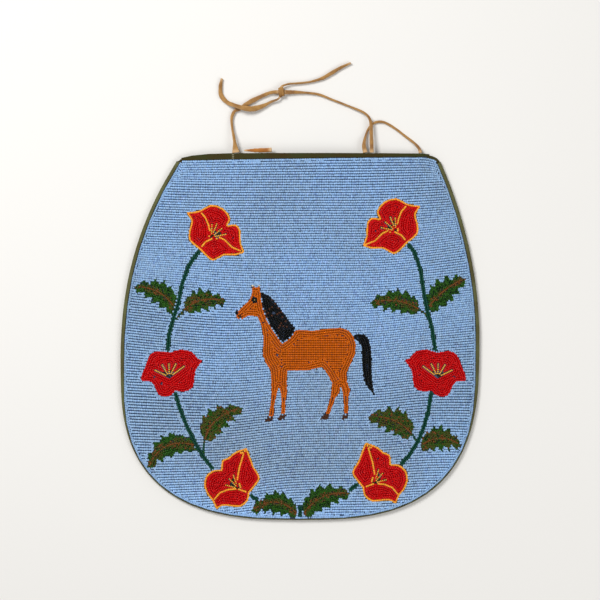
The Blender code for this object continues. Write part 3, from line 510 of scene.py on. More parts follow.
turn = np.linspace(0, 1, KNOT_RINGS)
angle = 2 * math.pi * KNOT_TURNS * turn + KNOT_START
coil = np.column_stack([
    KNOT_REACH[0] * (turn - 0.5) * 2 + 0.5 * MM * np.sin(angle * 0.5),
    KNOT_REACH[1] * np.cos(angle),
    KNOT_REACH[2] * np.sin(angle),
]) + KNOT_AT
ahead = unit(np.gradient(coil, axis=0))
outward = unit((coil - KNOT_AT) * (0, 1, 1))
broad = unit(np.cross(ahead, outward))
corners = np.stack([
    coil + (broad * (math.cos(angle) * KNOT_STRIP[0]) + outward * (math.sin(angle) * KNOT_STRIP[1]))
    for angle in np.linspace(0, 2 * math.pi, SECTION_POINTS, endpoint=False)
], axis=1).reshape(-1, 3)
knot_mesh = mesh_of("thong_knot_turns", corners, swept_faces(len(coil), SECTION_POINTS))
knot = add_piece("thong_knot_turns", knot_mesh, ["tanned_hide"], ["thong_knot"])

# %% Far ends and widths of the thongs as cords
CORD_FACTS = {
    "thong_left": ("knot", 3.2),
    "thong_left_tail": ("bare", 3.2),
    "thong_right": ("knot", 3.2),
    "thong_right_tail": ("bare", 3.2),
    "thong_brace": ("object", 2.2),
}
for name, (far_end, width) in CORD_FACTS.items():
    line = thong_lines[name]
print(len(CORD_FACTS), "cords declared")

# %% [markdown]
# ## Cloth under the beads
#
# The canvas front carries the beads. Its CAD sheet has large facets, so we cut
# a copy of it along a fine grid and let it pucker slightly between the rows.
# The beads are laid on this finer sheet later, so they follow every pucker.

# %% A finer copy of a cloth node
WAVES = 6
WAVE_SIZES = (0.7, 1.6)
SLANT = 0.7  # the ribs of the mouth tape lie aslant


def soft_noise(x, y, size, seed):
    """Gentle waves of about the given size, between -1 and 1."""
    rng = np.random.default_rng(seed)
    total = np.zeros(np.shape(x))
    for _ in range(WAVES):
        direction, phase = rng.uniform(0, 2 * math.pi, 2)
        reach = size * rng.uniform(*WAVE_SIZES)
        step = np.asarray(x) * math.cos(direction) + np.asarray(y) * math.sin(direction)
        total += np.sin(step * 2 * math.pi / reach + phase)
    return total / WAVES


def fine_copy(node_name, spacing, ripple, size, seed):
    """A node's mesh, cut along a square grid and rippled upwards and downwards."""
    work = bmesh.new()
    work.from_mesh(nodes[node_name].data)
    bmesh.ops.remove_doubles(work, verts=work.verts, dist=1e-6)
    low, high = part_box(node_name)
    for axis in (0, 1):
        across = Vector((1, 0, 0)) if axis == 0 else Vector((0, 1, 0))
        for place in np.arange(low[axis] + spacing / 2, high[axis], spacing):
            everything = [*work.verts, *work.edges, *work.faces]
            bmesh.ops.bisect_plane(work, geom=everything, plane_co=across * place, plane_no=across)
    bmesh.ops.triangulate(work, faces=[f for f in work.faces if len(f.verts) > 4])
    spots = np.array([v.co for v in work.verts])
    lift = soft_noise(spots[:, 0], spots[:, 1], size, seed) * ripple
    for vertex, rise in zip(work.verts, lift):
        vertex.co.z += rise
    mesh = bpy.data.meshes.new(node_name)
    work.to_mesh(mesh)
    work.free()
    spots = points_of(mesh)
    store(mesh, "along", spots[:, 0] + SLANT * spots[:, 1])
    mesh.polygons.foreach_set("use_smooth", [False] * len(mesh.polygons))
    return mesh


# %% Canvas, back and mouth tapes
CLOTHS = [  # piece, node, grid step, ripple and its size in mm, finish, slot
    ("canvas_front", "front_panel", 10, 0.25, 40, "slate_canvas", "canvas"),
    ("cloth_back", "back_panel", 10, 0, 60, "back_canvas", "back_cloth"),
    ("mouth_tape_front", "front_mouth_band", 2, 0.12, 9, "dark_ribbed_tape", "olive_tape"),
    ("mouth_tape_back", "back_mouth_band", 2, 0, 9, "dark_ribbed_tape", "olive_tape"),
]
cloths = {}
for seed, (name, node_name, step, ripple, size, finish, slot) in enumerate(CLOTHS, 1):
    mesh = fine_copy(node_name, step * MM, ripple * MM, size * MM, seed)
    cloths[name] = add_piece(name, mesh, [finish], [node_name])
    print(name, len(mesh.polygons), "faces")

# %% Outlines of a node, seen from above
MICRON = 1e-6
UPWARD = 0.5
NEARLY_STRAIGHT = 0.005 * MM


def plan_area(loop):
    """The area in an outline, negative if the outline runs clockwise."""
    after = np.roll(loop, -1, axis=0)
    return float((loop[:, 0] * after[:, 1] - after[:, 0] * loop[:, 1]).sum()) / 2


def without_straight_points(loop):
    """A closed outline without the points that only lie along a straight run."""
    kept = [loop[0]]
    for spot, after in zip(loop[1:], np.vstack([loop[2:], loop[:1]])):
        run, arm = after - kept[-1], spot - kept[-1]
        off_line = abs(run[0] * arm[1] - run[1] * arm[0]) / max(np.linalg.norm(run), 1e-9)
        if off_line > NEARLY_STRAIGHT:
            kept.append(spot)
    return np.array(kept)


def outlines_of(node_name):
    """The closed outlines of a node's upper face, in plan, largest first."""
    mesh = nodes[node_name].data
    keys, first = {}, []
    for spot in points_of(mesh):
        first.append(keys.setdefault(tuple(np.round(spot / MICRON).astype(int)), len(keys)))
    plan = np.array([[k[0], k[1]] for k in keys]) * MICRON
    seen = {}
    for face in mesh.polygons:
        if face.normal.z < UPWARD:
            continue
        ring = [first[v] for v in face.vertices]
        for a, b in zip(ring, ring[1:] + ring[:1]):
            if a != b:
                seen[(a, b)] = True
    after = {}
    for a, b in seen:
        if (b, a) not in seen:
            after.setdefault(a, []).append(b)
    loops = []
    while after:
        start = next(iter(after))
        loop, here = [start], start
        while here in after:
            there = after[here].pop()
            if not after[here]:
                del after[here]
            if there == start:
                break
            loop.append(there)
            here = there
        if len(loop) > 2:
            loops.append(without_straight_points(plan[loop]))
    return sorted(loops, key=lambda loop: -abs(plan_area(loop)))


outlines = {name: outlines_of(name) for name in nodes if not name.startswith("thong")}
print({name: len(loops) for name, loops in outlines.items() if len(loops) > 1})

# %% [markdown]
# To follow an outline at a set distance, we measure the distance to it on a
# fine grid, and trace the line where that distance has the wanted value.

# %% Inside and distance
CHUNK = 4000


def edges_of(loops):
    return np.vstack([np.stack([loop, np.roll(loop, -1, axis=0)], axis=1) for loop in loops])


def is_inside(points, edges):
    found = np.zeros(len(points), bool)
    a, b = edges[:, 0], edges[:, 1]
    rise = np.where(b[:, 1] == a[:, 1], 1, b[:, 1] - a[:, 1])
    for start in range(0, len(points), CHUNK):
        x, y = points[start : start + CHUNK, :1], points[start : start + CHUNK, 1:]
        straddles = (a[:, 1] > y) != (b[:, 1] > y)
        crossing = a[:, 0] + (y - a[:, 1]) / rise * (b[:, 0] - a[:, 0])
        found[start : start + CHUNK] = (straddles & (x < crossing)).sum(axis=1) % 2 == 1
    return found


def distance_to(points, edges):
    result = np.empty(len(points))
    start_points, run = edges[:, 0], edges[:, 1] - edges[:, 0]
    squares = np.maximum((run**2).sum(axis=1), 1e-18)
    for start in range(0, len(points), CHUNK):
        p = points[start : start + CHUNK]
        share = ((p[:, None] - start_points) * run).sum(axis=2) / squares
        nearest = start_points + np.clip(share, 0, 1)[:, :, None] * run
        result[start : start + CHUNK] = np.linalg.norm(p[:, None] - nearest, axis=2).min(axis=1)
    return result


# %% [markdown]
# ## The side tape
#
# A tape is folded over both edges from one corner of the mouth round to the
# other. We follow the seam with a smooth line and sweep the folded section
# along it: up from the underside, round the fold, and over the front.

# %% The line of the seam
EDGE_OF_BACK = 0.9 * MM
TOP_OF_SEAM = 147.5 * MM
SEAM_STEP = 2.0 * MM


def moved_out(loop, distance):
    """A closed outline, counter-clockwise, moved outwards."""
    ahead = unit(np.roll(loop, -1, axis=0) - loop)
    normal = np.column_stack([ahead[:, 1], -ahead[:, 0]])
    both = normal + np.roll(normal, 1, axis=0)
    return loop + both * (2 * distance / (both**2).sum(axis=1))[:, None]


def counter_clockwise(loop):
    return loop if plan_area(loop) > 0 else loop[::-1]


around = moved_out(counter_clockwise(outlines["back_panel"][0]), EDGE_OF_BACK)
low_part = around[:, 1] < TOP_OF_SEAM
first = next(i for i in range(len(around)) if low_part[i] and not low_part[i - 1])
around, low_part = np.roll(around, -first, axis=0), np.roll(low_part, -first)
seam = smooth_route(around[low_part], SEAM_STEP)
print(len(seam), "points on the seam,", round(length_of(seam) / MM), "mm long")

# %% Fold the tape over the edges
TAPE_SECTION = np.array([
    (8.0, 0.0), (4.0, 0.0), (1.0, 0.0), (0.4, 0.12), (0.08, 0.6), (0.0, 1.8), (0.04, 2.9),
    (0.25, 3.6), (0.75, 4.0), (1.8, 4.2), (2.7, 4.35), (3.0, 4.22), (3.0, 3.95), (1.8, 3.64),
    (0.95, 3.45), (0.62, 3.0), (0.6, 1.8), (0.62, 0.85), (0.95, 0.6), (4.0, 0.6), (8.0, 0.6),
]) * MM
LIP = slice(9, 14)
LIP_START, LIP_END = 0.95 * MM, 3.0 * MM
LIP_ROOM = 0.25 * MM
LEAST_LIP = 0.05 * MM
LIP_EVENED_OVER = 7
TAPE_RIPPLE, TAPE_WAVE = 0.12 * MM, 14 * MM
TAPE_TOP = 4 * MM

field_outline = outlines["ground_beads"][0]
ahead = unit(np.gradient(seam, axis=0))
inward = np.column_stack([-ahead[:, 1], ahead[:, 0]])
room = distance_to(seam, edges_of([field_outline])) - LIP_ROOM
evened = np.ones(LIP_EVENED_OVER) / LIP_EVENED_OVER
room = np.clip(np.convolve(np.pad(room, LIP_EVENED_OVER // 2, "edge"), evened, "valid"), 0, LIP_END)
corners = []
for spot, way, reach in zip(seam, inward, room):
    section = TAPE_SECTION.copy()
    share = (section[LIP, 0] - LIP_START) / (LIP_END - LIP_START)
    section[LIP, 0] = LIP_START + share * max(reach - LIP_START, LEAST_LIP)
    for reach_in, up in section:
        corners.append((*(spot + way * reach_in), up))
corners = np.array(corners)
wobble = soft_noise(corners[:, 0], corners[:, 1], TAPE_WAVE, 8) * TAPE_RIPPLE
corners[:, 2] += wobble * np.clip(corners[:, 2] / TAPE_TOP, 0, 1)
tape_mesh = mesh_of("folded_side_tape", corners, swept_faces(len(seam), len(TAPE_SECTION)))
store(tape_mesh, "along", np.repeat(travelled_along(seam), len(TAPE_SECTION)))
add_piece("folded_side_tape", tape_mesh, ["olive_ribbed_tape"], ["side_tape"])
print("tape:", len(tape_mesh.polygons), "faces, lip from",
      round(room.min() / MM, 1), "to", round(room.max() / MM, 1), "mm")

# %% [markdown]
# ## Placing the beads
#
# Beads are laid in the order in which they were sewn: first the motifs, row
# after row along their outlines, then the ground in long rows. Each row is a
# line, and beads are strung along it at an even pitch. A bead is left out
# where another already lies too near.

# %% Sizes of the beads
PITCH = 1.46 * MM
TIGHT_ROW = 1.92 * MM
BEAD_ACROSS = 2.08 * MM
BEAD_LONG = 1.42 * MM
CELL = 2 * MM

SMALLER = {"stamen": 0.7, "dark_centre": 0.85, "eye_light": 0.8}

beads = []
cells = {}


def cell_of(x, y):
    return int(math.floor(x / CELL)), int(math.floor(y / CELL))


def is_free(x, y, room):
    i, j = cell_of(x, y)
    for a in (i - 1, i, i + 1):
        for b in (j - 1, j, j + 1):
            for p, q in cells.get((a, b), ()):
                if (p - x) ** 2 + (q - y) ** 2 < room * room:
                    return False
    return True


def lay(spots, directions, owner, look, room):
    """Puts down the beads that have room, and says how many. Beads of one call don't crowd
    out each other. A look is a name, a list of names, or a function of the place."""
    if callable(look):
        look = [look(spot) for spot in spots]
    looks = look if isinstance(look, (list, np.ndarray)) else [look] * len(spots)
    laid = []
    for (x, y), (u, v), colour in zip(spots, directions, looks):
        if is_free(x, y, room):
            laid.append((x, y, u, v, owner, colour))
    for bead in laid:
        cells.setdefault(cell_of(*bead[:2]), []).append(bead[:2])
    beads.extend(laid)
    return len(laid)


def lay_singly(spots, directions, owner, look, room):
    """Puts down beads one after another, each with room from the ones before."""
    return sum(lay([spot], [way], owner, look, room) for spot, way in zip(spots, directions))


# %% A field of distances
def grid_points(xs, ys):
    return np.stack(np.meshgrid(xs, ys, indexing="ij"), axis=-1).reshape(-1, 2)


class DistanceField:
    """Distance to an outline on a grid, positive inside it."""

    def __init__(self, loops, step=0.45 * MM, past=3.5 * MM):
        edges = edges_of(loops)
        low, high = edges.min(axis=(0, 1)) - past, edges.max(axis=(0, 1)) + past
        self.step, self.low, self.high = step, low, high
        self.xs = np.arange(low[0], high[0] + step, step)
        self.ys = np.arange(low[1], high[1] + step, step)
        grid = grid_points(self.xs, self.ys)
        value = distance_to(grid, edges)
        value[~is_inside(grid, edges)] *= -1
        self.value = value.reshape(len(self.xs), len(self.ys))

    def at(self, points):
        """The distance at each point, read between the grid's four nearest places."""
        v, last = self.value, np.array(self.value.shape) - 1
        grid = (np.asarray(points) - self.low) / self.step
        i = np.clip(np.floor(grid).astype(int), 0, last - 1)
        f = np.clip(grid - i, 0, 1)
        past = np.maximum(np.maximum(-grid, grid - last), 0)
        a = v[i[:, 0], i[:, 1]] * (1 - f[:, 0]) + v[i[:, 0] + 1, i[:, 1]] * f[:, 0]
        b = v[i[:, 0], i[:, 1] + 1] * (1 - f[:, 0]) + v[i[:, 0] + 1, i[:, 1] + 1] * f[:, 0]
        return a * (1 - f[:, 1]) + b * f[:, 1] - past.max(axis=1) * self.step


# %% Tracing a line of even distance
def trace(field, level):
    """Lines on which the distance has one value, each a run of points."""
    value = field.value - level
    sign = value > 0
    mixed_cells = np.argwhere(
        (sign[:-1, :-1] != sign[1:, :-1]) | (sign[:-1, :-1] != sign[:-1, 1:])
        | (sign[:-1, :-1] != sign[1:, 1:])
    )
    spots, joins = {}, {}

    def crossing(i, j, k, m):
        share = value[i, j] / (value[i, j] - value[k, m])
        spots[(i, j, k, m)] = (
            field.xs[i] + (field.xs[k] - field.xs[i]) * share,
            field.ys[j] + (field.ys[m] - field.ys[j]) * share,
        )
        return (i, j, k, m)

    for i, j in mixed_cells:
        found = []
        for a, b, c, d in ((i, j, i + 1, j), (i + 1, j, i + 1, j + 1),
                           (i, j + 1, i + 1, j + 1), (i, j, i, j + 1)):
            if sign[a, b] != sign[c, d]:
                found.append(crossing(a, b, c, d))
        for near, far in zip(found[::2], found[1::2]):
            joins.setdefault(near, []).append(far)
            joins.setdefault(far, []).append(near)
    lines = []
    while joins:
        start = next(iter(joins))
        line, here, last = [spots[start]], start, None
        while True:
            options = [k for k in joins.pop(here, []) if k in joins or k == start]
            options = [k for k in options if k != last]
            if not options:
                break
            last, here = here, options[0]
            line.append(spots[here])
            if here == start:
                break
        lines.append(np.array(line))
    return [line for line in lines if len(line) > 3]


# %% Stringing beads along a line
def strung(line, pitch=PITCH):
    """Even places along a line, with the line's direction at each."""
    lengths = travelled_along(line)
    count = max(1, round(lengths[-1] / pitch))
    places = (np.arange(count) + 0.5) * lengths[-1] / count

    def on_line(travelled):
        return np.column_stack([np.interp(travelled, lengths, line[:, k]) for k in (0, 1)])

    return on_line(places), unit(on_line(places + pitch) - on_line(places - pitch))


def rows_along_outline(field, first, owner, look, room, most=12, keep=None, apart=TIGHT_ROW):
    """Rows that follow an outline inwards, until the field is full."""
    count = 0
    for k in range(most):
        for line in trace(field, first + k * apart):
            spots, ahead = strung(line)
            if keep is not None:
                chosen = keep(spots, k)
                spots, ahead = spots[chosen], ahead[chosen]
            count += lay(spots, ahead, owner, look, room)
    return count


FILL_STEP = 0.42 * MM
SLOPE_STEP = 0.5 * MM


def fill_gaps(field, owner, look, room, edge, keep=None):
    """Single beads wherever the rows have left a hole, from the middle outwards."""
    grid = grid_points(*(np.arange(axis[0], axis[-1], FILL_STEP) for axis in (field.xs, field.ys)))
    grid = grid[field.at(grid) > edge]
    if keep is not None:
        grid = grid[keep(grid)]
    right, left, above, below = (
        field.at(grid + np.array(way) * SLOPE_STEP) for way in ((1, 0), (-1, 0), (0, 1), (0, -1))
    )
    ahead = unit(np.column_stack([below - above, right - left]) + 1e-9)
    order = np.argsort(-field.at(grid))
    return lay_singly(grid[order], ahead[order], owner, look, room)


# %% [markdown]
# ## The flowers
#
# Four flowers have a single yellow row round each petal, and two are plain
# red. All have thin yellow stamens, sewn with smaller beads, and dark beads
# between them. Where two petals meet, they share one yellow row.

# %% Stamens and dark hearts
FLOWERS = {
    "flower_upper_left": ((-70.5, 240.5), False, "side"),
    "flower_upper_right": ((76.5, 246.0), True, "side"),
    "flower_mid_left": ((-108.0, 124.0), False, "round"),
    "flower_mid_right": ((114.0, 124.0), True, "round"),
    "flower_lower_left": ((-56.5, 35.5), False, "open"),
    "flower_lower_right": ((66.5, 40.0), True, "open"),
}
STAMENS = {
    "side": [(-3, -4.6), [(-2.6, 6.5), (1.6, 7), (6, 3), (9.5, -2)]],
    "open": [(5, -8.6), [(-6, -5.6), (-2.6, 0), (0.8, 3)]],
    "round": [(-0.6, -4.4), [(-13, 1.5), (-6.9, 6.2), (-1, 7.2), (5, 7), (12, 4.8)]],
}
HEART_REACH = {"side": (0.5, 0.85), "open": (0.5, 0.85), "round": (0.35, 0.6)}
STAMEN_START = 0.2
TIGHT = 1.2 * MM
CLOSE = 1.42 * MM
ACROSS = (1.0, 0.0)

rng = np.random.default_rng(3)
heart_beads = 0
for name, (at, mirrored, kind) in FLOWERS.items():
    side = -1 if mirrored else 1
    middle, tips = STAMENS[kind]
    owner = f"{name}_stamens" if kind == "round" else f"{name}_net"
    base, *ends = (on_bag((at[0] + side * x, at[1] + y)) for x, y in (middle, *tips))
    for end in ends:
        start = base + (end - base) * STAMEN_START
        heart_beads += lay(*strung(np.array([start, end])), owner, "stamen", TIGHT)
    for near, far in zip(ends, ends[1:]):
        end = base + ((near + far) / 2 - base) * rng.uniform(*HEART_REACH[kind])
        heart_beads += lay(*strung(np.array([base, end])), owner, "dark_centre", TIGHT)
    heart_beads += lay([base], [ACROSS], owner, "dark_centre", 1.0 * MM)
print(heart_beads, "beads in stamens and hearts")

# %% Yellow nets and red petals
MOTIFS = ("stem", "leaf", "horse", "hoof")
YELLOW_OUT = 1.0 * MM
YELLOW_ROOM = 1.25 * MM
SHARED_WITHIN = 2.9 * MM
BESIDE_EDGE = 2.6 * MM
FIRST_ROW = 0.95 * MM
RED_ROW = 1.78 * MM
RED_ROOM = 1.1 * MM
PETAL_REACH = 1.8 * MM
INSIDE_NET = 1.7 * MM
ROUND_EDGE, NET_EDGE = 0.4 * MM, 0.8 * MM

petal_names = [name for name in nodes if "_petal" in name]
nets = [name for name in nodes if name.endswith("_net")]
fields = {
    name: DistanceField(outlines[name])
    for name in nodes if name in petal_names or name.startswith(MOTIFS)
}
wholes = {
    name: DistanceField(outlines[name][:1])
    for name in nodes if name.endswith(("_petals", "_net"))
}
yellow_count = red_count = 0
for net in nets:
    for line in trace(wholes[net], YELLOW_OUT):
        yellow_count += lay(*strung(line), net, "yellow", CLOSE)
    done = []
    for name in sorted(n for n in petal_names if n.startswith(net[: -len("_net")])):
        for line in trace(fields[name], -YELLOW_OUT):
            spots, ahead = strung(line)
            clear = wholes[net].at(spots) > BESIDE_EDGE
            for other in done:
                clear &= other.at(spots) < -SHARED_WITHIN
            yellow_count += lay(spots[clear], ahead[clear], net, "yellow", CLOSE)
        done.append(fields[name])
for name in petal_names:
    red_count += rows_along_outline(fields[name], FIRST_ROW, name, "red", CLOSE, apart=RED_ROW)
    if name in wholes:
        red_count += fill_gaps(fields[name], name, "red", RED_ROOM, ROUND_EDGE)
        continue
    whole = wholes[name.split("_petal")[0] + "_net"]
    red_count += fill_gaps(fields[name], name, "red", RED_ROOM, -PETAL_REACH,
                           keep=lambda spots: whole.at(spots) > INSIDE_NET)
for net in nets:
    yellow_count += fill_gaps(wholes[net], net, "yellow", YELLOW_ROOM, NET_EDGE,
                              keep=lambda spots: wholes[net].at(spots) < BESIDE_EDGE)
print(yellow_count, "yellow and", red_count, "red beads")

# %% Stems
STEM_IN, STEM_ROOM = 0.85 * MM, 1.36 * MM
stem_count = sum(
    rows_along_outline(fields[name], STEM_IN, name, "stem", STEM_ROOM, most=1)
    for name in nodes if name.startswith("stem")
)
print(stem_count, "beads in the stems")

# %% [markdown]
# ## The leaves
#
# A leaf has a brown midrib, and rows that slant from it towards the teeth like
# the veins of a real leaf. Its beads are olive and brown near the rib, and
# green towards the edge. Rows end where the leaf's toothed outline ends, which
# is what gives it its teeth.

# %% Leaf rows
LEAVES = {  # base, tip and bend of the rib in mm, length of the petiole, reach of the brown
    "leaf_upper_left_outer": ((-102.5, 174.5), (-137.4, 194.9), -12, 0, 3),
    "leaf_upper_left_inner": ((-102.5, 168.3), (-62.1, 182.8), 15, 9, 6),
    "leaf_lower_left_outer": ((-85.5, 62.5), (-126.8, 44), -20, 0, 5),
    "leaf_lower_left_inner": ((-80.5, 56.5), (-47.8, 94.1), 20, 9, 12),
    "leaf_foot_left": ((-1.6, 5), (-40.5, 7.9), -18, 0, 3.5),
    "leaf_upper_right_outer": ((105.8, 176.3), (137.5, 201.7), 6, 0, 3),
    "leaf_upper_right_inner": ((105.6, 171), (58.7, 181.3), -13, 7, 4),
    "leaf_lower_right_outer": ((100, 62), (134.2, 62.5), 13, 0, 7.5),
    "leaf_lower_right_inner": ((97.5, 66), (56.9, 86.8), -14, 6, 14),
    "leaf_foot_right": ((2.5, 5.4), (41.7, 22.8), 13, 0, 3.5),
}
GREENS = ["leaf", "leaf", "dark_leaf"]
BROWNS = ["olive_brown"] * 3 + ["olive"] * 4 + ["leaf_brown"]
BROWN_SHARE = 0.8
BROWN_REACH, BROWN_SWING, PATCH_SIZE = 0.8, 0.6, 16 * MM
RIB_END, STEM_PAST = 0.92, 0.02
RIB_OLIVE_SHARE = 0.25
VEIN_ANGLE = math.radians(32)
VEIN_SPACING = 1.8 * MM / math.sin(VEIN_ANGLE)
VEIN_START = 1.3 * MM
VEIN_BEADS = 14
LEAF_EDGES = {"rib": 0.2 * MM, "vein": 0.1 * MM, "gap": 0.25 * MM}
TOOTH_ANGLE = math.radians(100)
TOOTH_ROOM = 0.75 * MM


def tooth_tips(loop):
    """The sharp outward corners of an outline, with the way that each points."""
    loop = counter_clockwise(loop)
    back, on = unit(np.roll(loop, 1, axis=0) - loop), unit(np.roll(loop, -1, axis=0) - loop)
    turn = on[:, 0] * back[:, 1] - on[:, 1] * back[:, 0]
    opening = np.arccos(np.clip((back * on).sum(axis=1), -1, 1))
    sharp = (turn > 0) & (opening < TOOTH_ANGLE)
    inward = unit(back + on)
    return loop[sharp] + inward[sharp] * TOOTH_ROOM, -inward[sharp]


rng = np.random.default_rng(11)
leaf_count = 0
for name, (base, tip, bend, petiole, brown) in LEAVES.items():
    leaf_count += lay(*tooth_tips(outlines[name][0]), name, lambda spot: rng.choice(GREENS), TIGHT)
    base, tip = on_bag([base, tip])
    aside = unit(np.array([-(tip - base)[1], (tip - base)[0]]))
    middle = (base + tip) / 2 + aside * bend * MM
    share = np.linspace(0, 1, 200)[:, None]
    rib = (1 - share) ** 2 * base + 2 * share * (1 - share) * middle + share**2 * tip
    blade_from = petiole * MM / np.linalg.norm(tip - base)
    spots, ahead = strung(rib)
    along_rib = (np.arange(len(spots)) + 0.5) / len(spots)
    inside = (fields[name].at(spots) > LEAF_EDGES["rib"]) & (along_rib < RIB_END)
    looks = np.where(along_rib < blade_from + STEM_PAST, "stem", "leaf_brown")
    looks = np.where(rng.random(len(spots)) < RIB_OLIVE_SHARE, "olive_brown", looks)
    leaf_count += lay(spots[inside], ahead[inside], name, looks[inside], CLOSE)

    def leaf_look(spot):
        """Browner near the rib, in uneven patches, and green towards the teeth."""
        patches = BROWN_SWING * soft_noise(spot[0], spot[1], PATCH_SIZE, 41)
        reach = brown * MM * (BROWN_REACH + patches)
        from_rib = np.linalg.norm(rib - spot, axis=1).min()
        if from_rib < reach and rng.random() < BROWN_SHARE:
            return rng.choice(BROWNS)
        return rng.choice(GREENS)

    starts, directions = strung(rib, VEIN_SPACING)
    for turn_side in (1, -1):
        c, s = math.cos(VEIN_ANGLE), math.sin(VEIN_ANGLE) * turn_side
        for spot, way in zip(starts, directions):
            slant = np.array([c * way[0] - s * way[1], s * way[0] + c * way[1]])
            run = spot + slant * (np.arange(VEIN_BEADS)[:, None] * PITCH + VEIN_START)
            inside = fields[name].at(run) > LEAF_EDGES["vein"]
            run = run[: np.argmin(inside)] if not inside.all() else run
            if len(run):
                looks = [leaf_look(place) for place in run]
                leaf_count += lay(run, np.tile(slant, (len(run), 1)), name, looks, CLOSE)
    leaf_count += fill_gaps(fields[name], name, leaf_look, TIGHT, LEAF_EDGES["gap"])
print(leaf_count, "beads in the leaves")

# %% [markdown]
# ## The horse
#
# Rows run along its neck, chest, rump and legs. Only the barrel is filled
# with level rows. The eye, nostril, mouth and ear tips are single beads of
# other colours, so they are laid before the rows.

# %% Eye, nostril, mouth and ear tips
def single(x, y, look, way=ACROSS):
    return lay([on_bag((x, y))], [way], "horse_body", look, TIGHT)


EYE = (-37.7, 183.8)
EYE_RING, EYE_BEADS = 1.5, 6
MARKS = {
    "black": [(-52.9, 173.9), (-52.2, 172.2)],
    "hoof": [(-50.3, 170.4), (-48.9, 169.6)],
    "white": [(-39.3, 195.6), (-33.9, 195.6)],
}

details = single(*EYE, "eye_light")
for k in range(EYE_BEADS):
    turn_at = 2 * math.pi * k / EYE_BEADS
    out = (math.cos(turn_at), math.sin(turn_at))
    details += single(EYE[0] + EYE_RING * out[0], EYE[1] + EYE_RING * out[1], "black",
                      (-out[1], out[0]))
for look, marks in MARKS.items():
    for x, y in marks:
        details += single(x, y, look, (0.0, 1.0) if look == "white" else ACROSS)
print(details, "beads in the horse's small marks")

# %% Mane, tail, hooves and body
BARREL = on_bag([(-16, 124), (46, 162)])
BARREL_REACH = 6 * MM
EDGE_ROWS = 3
BROWN_IN_MANE = 0.1
DARK_ROOM, HAIR_EDGE, HOOF_EDGE = 1.3 * MM, 0.3 * MM, 0.1 * MM
BARREL_IN, BARREL_ROOM = 1.2 * MM, 1.5 * MM
BODY_ROOM, BODY_EDGE = 1.25 * MM, 0.4 * MM

rng = np.random.default_rng(17)


def mane_look(spot):
    return "hoof" if rng.random() < BROWN_IN_MANE else "black"


def near_outline(spots, k):
    in_barrel = ((spots > BARREL[0]) & (spots < BARREL[1])).all(axis=1)
    return ~in_barrel | (k < EDGE_ROWS)


horse_count = 0
for name, look in (("horse_mane", mane_look), ("horse_tail", "black")):
    horse_count += rows_along_outline(fields[name], FIRST_ROW, name, look, CLOSE)
    horse_count += fill_gaps(fields[name], name, look, DARK_ROOM, HAIR_EDGE)
for name in (n for n in nodes if n.startswith("hoof")):
    horse_count += fill_gaps(fields[name], name, "hoof", DARK_ROOM, HOOF_EDGE)
body = fields["horse_body"]
horse_count += rows_along_outline(
    body, FIRST_ROW, "horse_body", "chestnut", CLOSE, keep=near_outline
)
for y in np.arange(BARREL[0, 1], BARREL[1, 1], TIGHT_ROW):
    ends = [(BARREL[0, 0] - BARREL_REACH, y), (BARREL[1, 0] + BARREL_REACH, y)]
    spots, ahead = strung(np.array(ends))
    inside = body.at(spots) > BARREL_IN
    horse_count += lay(spots[inside], ahead[inside], "horse_body", "chestnut", BARREL_ROOM)
horse_count += fill_gaps(body, "horse_body", "chestnut", BODY_ROOM, BODY_EDGE)
print(horse_count, "beads in the horse")

# %% [markdown]
# ## The ground
#
# The blue ground is sewn in long rows. One row follows the sides and the
# bottom, and the rows run along the straight edge under the mouth. Beads that
# crowd together beside an edge hide the shaded seams between the rows, so their
# blue is painted darker, as a painted shade in place of those seams.

# %% The border row
FAR = 1.0
BORDER_IN = 1.0 * MM
MOUTH_EDGE_DEPTH = 6 * MM

border_field = DistanceField([field_outline], step=1.0 * MM)
motif_fields = [*wholes.values(), *(f for name, f in fields.items() if "_petal" not in name)]


def from_motifs(spots):
    """How far each place lies outside the nearest motif."""
    nearest = np.full(len(spots), FAR)
    for field in motif_fields:
        near = ((spots > field.low) & (spots < field.high)).all(axis=1)
        if near.any():
            nearest[near] = np.minimum(nearest[near], -field.at(spots[near]))
    return nearest


upper = field_outline[field_outline[:, 1] > field_outline[:, 1].max() - MOUTH_EDGE_DEPTH]
upper = upper[np.argsort(upper[:, 0])]


def top_edge(x):
    """Height of the field's top edge."""
    return np.interp(x, upper[:, 0], upper[:, 1])


border_count = 0
for line in trace(border_field, BORDER_IN):
    spots, ahead = strung(line)
    below_mouth = spots[:, 1] < top_edge(spots[:, 0]) - 2 * BORDER_IN
    border_count += lay(spots[below_mouth], ahead[below_mouth], "ground_beads", "edge_blue", CLOSE)
print(border_count, "beads in the border")

# %% [markdown]
# The rows bend. They lie level in the middle, climb towards both sides, and
# are a little closer together round the horse than at the top and the bottom.
# We write down their tilt at a few places, and adding it up along a row tells
# how far the row has climbed there. The uppermost rows follow the mouth.

# %% The bend of the rows
TILT_X = np.array([-135, -72, -50, -30, 0, 50, 90, 130]) * MM
TILT_Y = np.array([42, 78, 115, 151, 188, 224, 261]) * MM - BAG_HEIGHT / 2
TILTS = np.array([
    [1, 3, 7, 9, 2, 0, 4, -1],
    [-2, 1, 7.5, 8, 2, 0, 6, -2.5],
    [-2.5, -2.5, 2, 5.5, 1, 2, 8, 1],
    [-6, -4, 3, 2.5, 1, 2, 7.5, 6],
    [-7, -4.5, -2, -0.5, 0, 1, 5, 6],
    [-3, -1, -1, 0, 0, 0, 6, 9],
    [-4, -1, 0, 0, 0, 0.5, 2, 5],
])
ROW_PITCH_Y = np.array([20, 78, 151, 224, 285]) * MM - BAG_HEIGHT / 2
ROW_PITCHES = np.array([2.17, 2.07, 1.99, 2.05, 2.2]) * MM
BEND_STEP = 5 * MM
BEND_REACH = (160 * MM, 180 * MM)
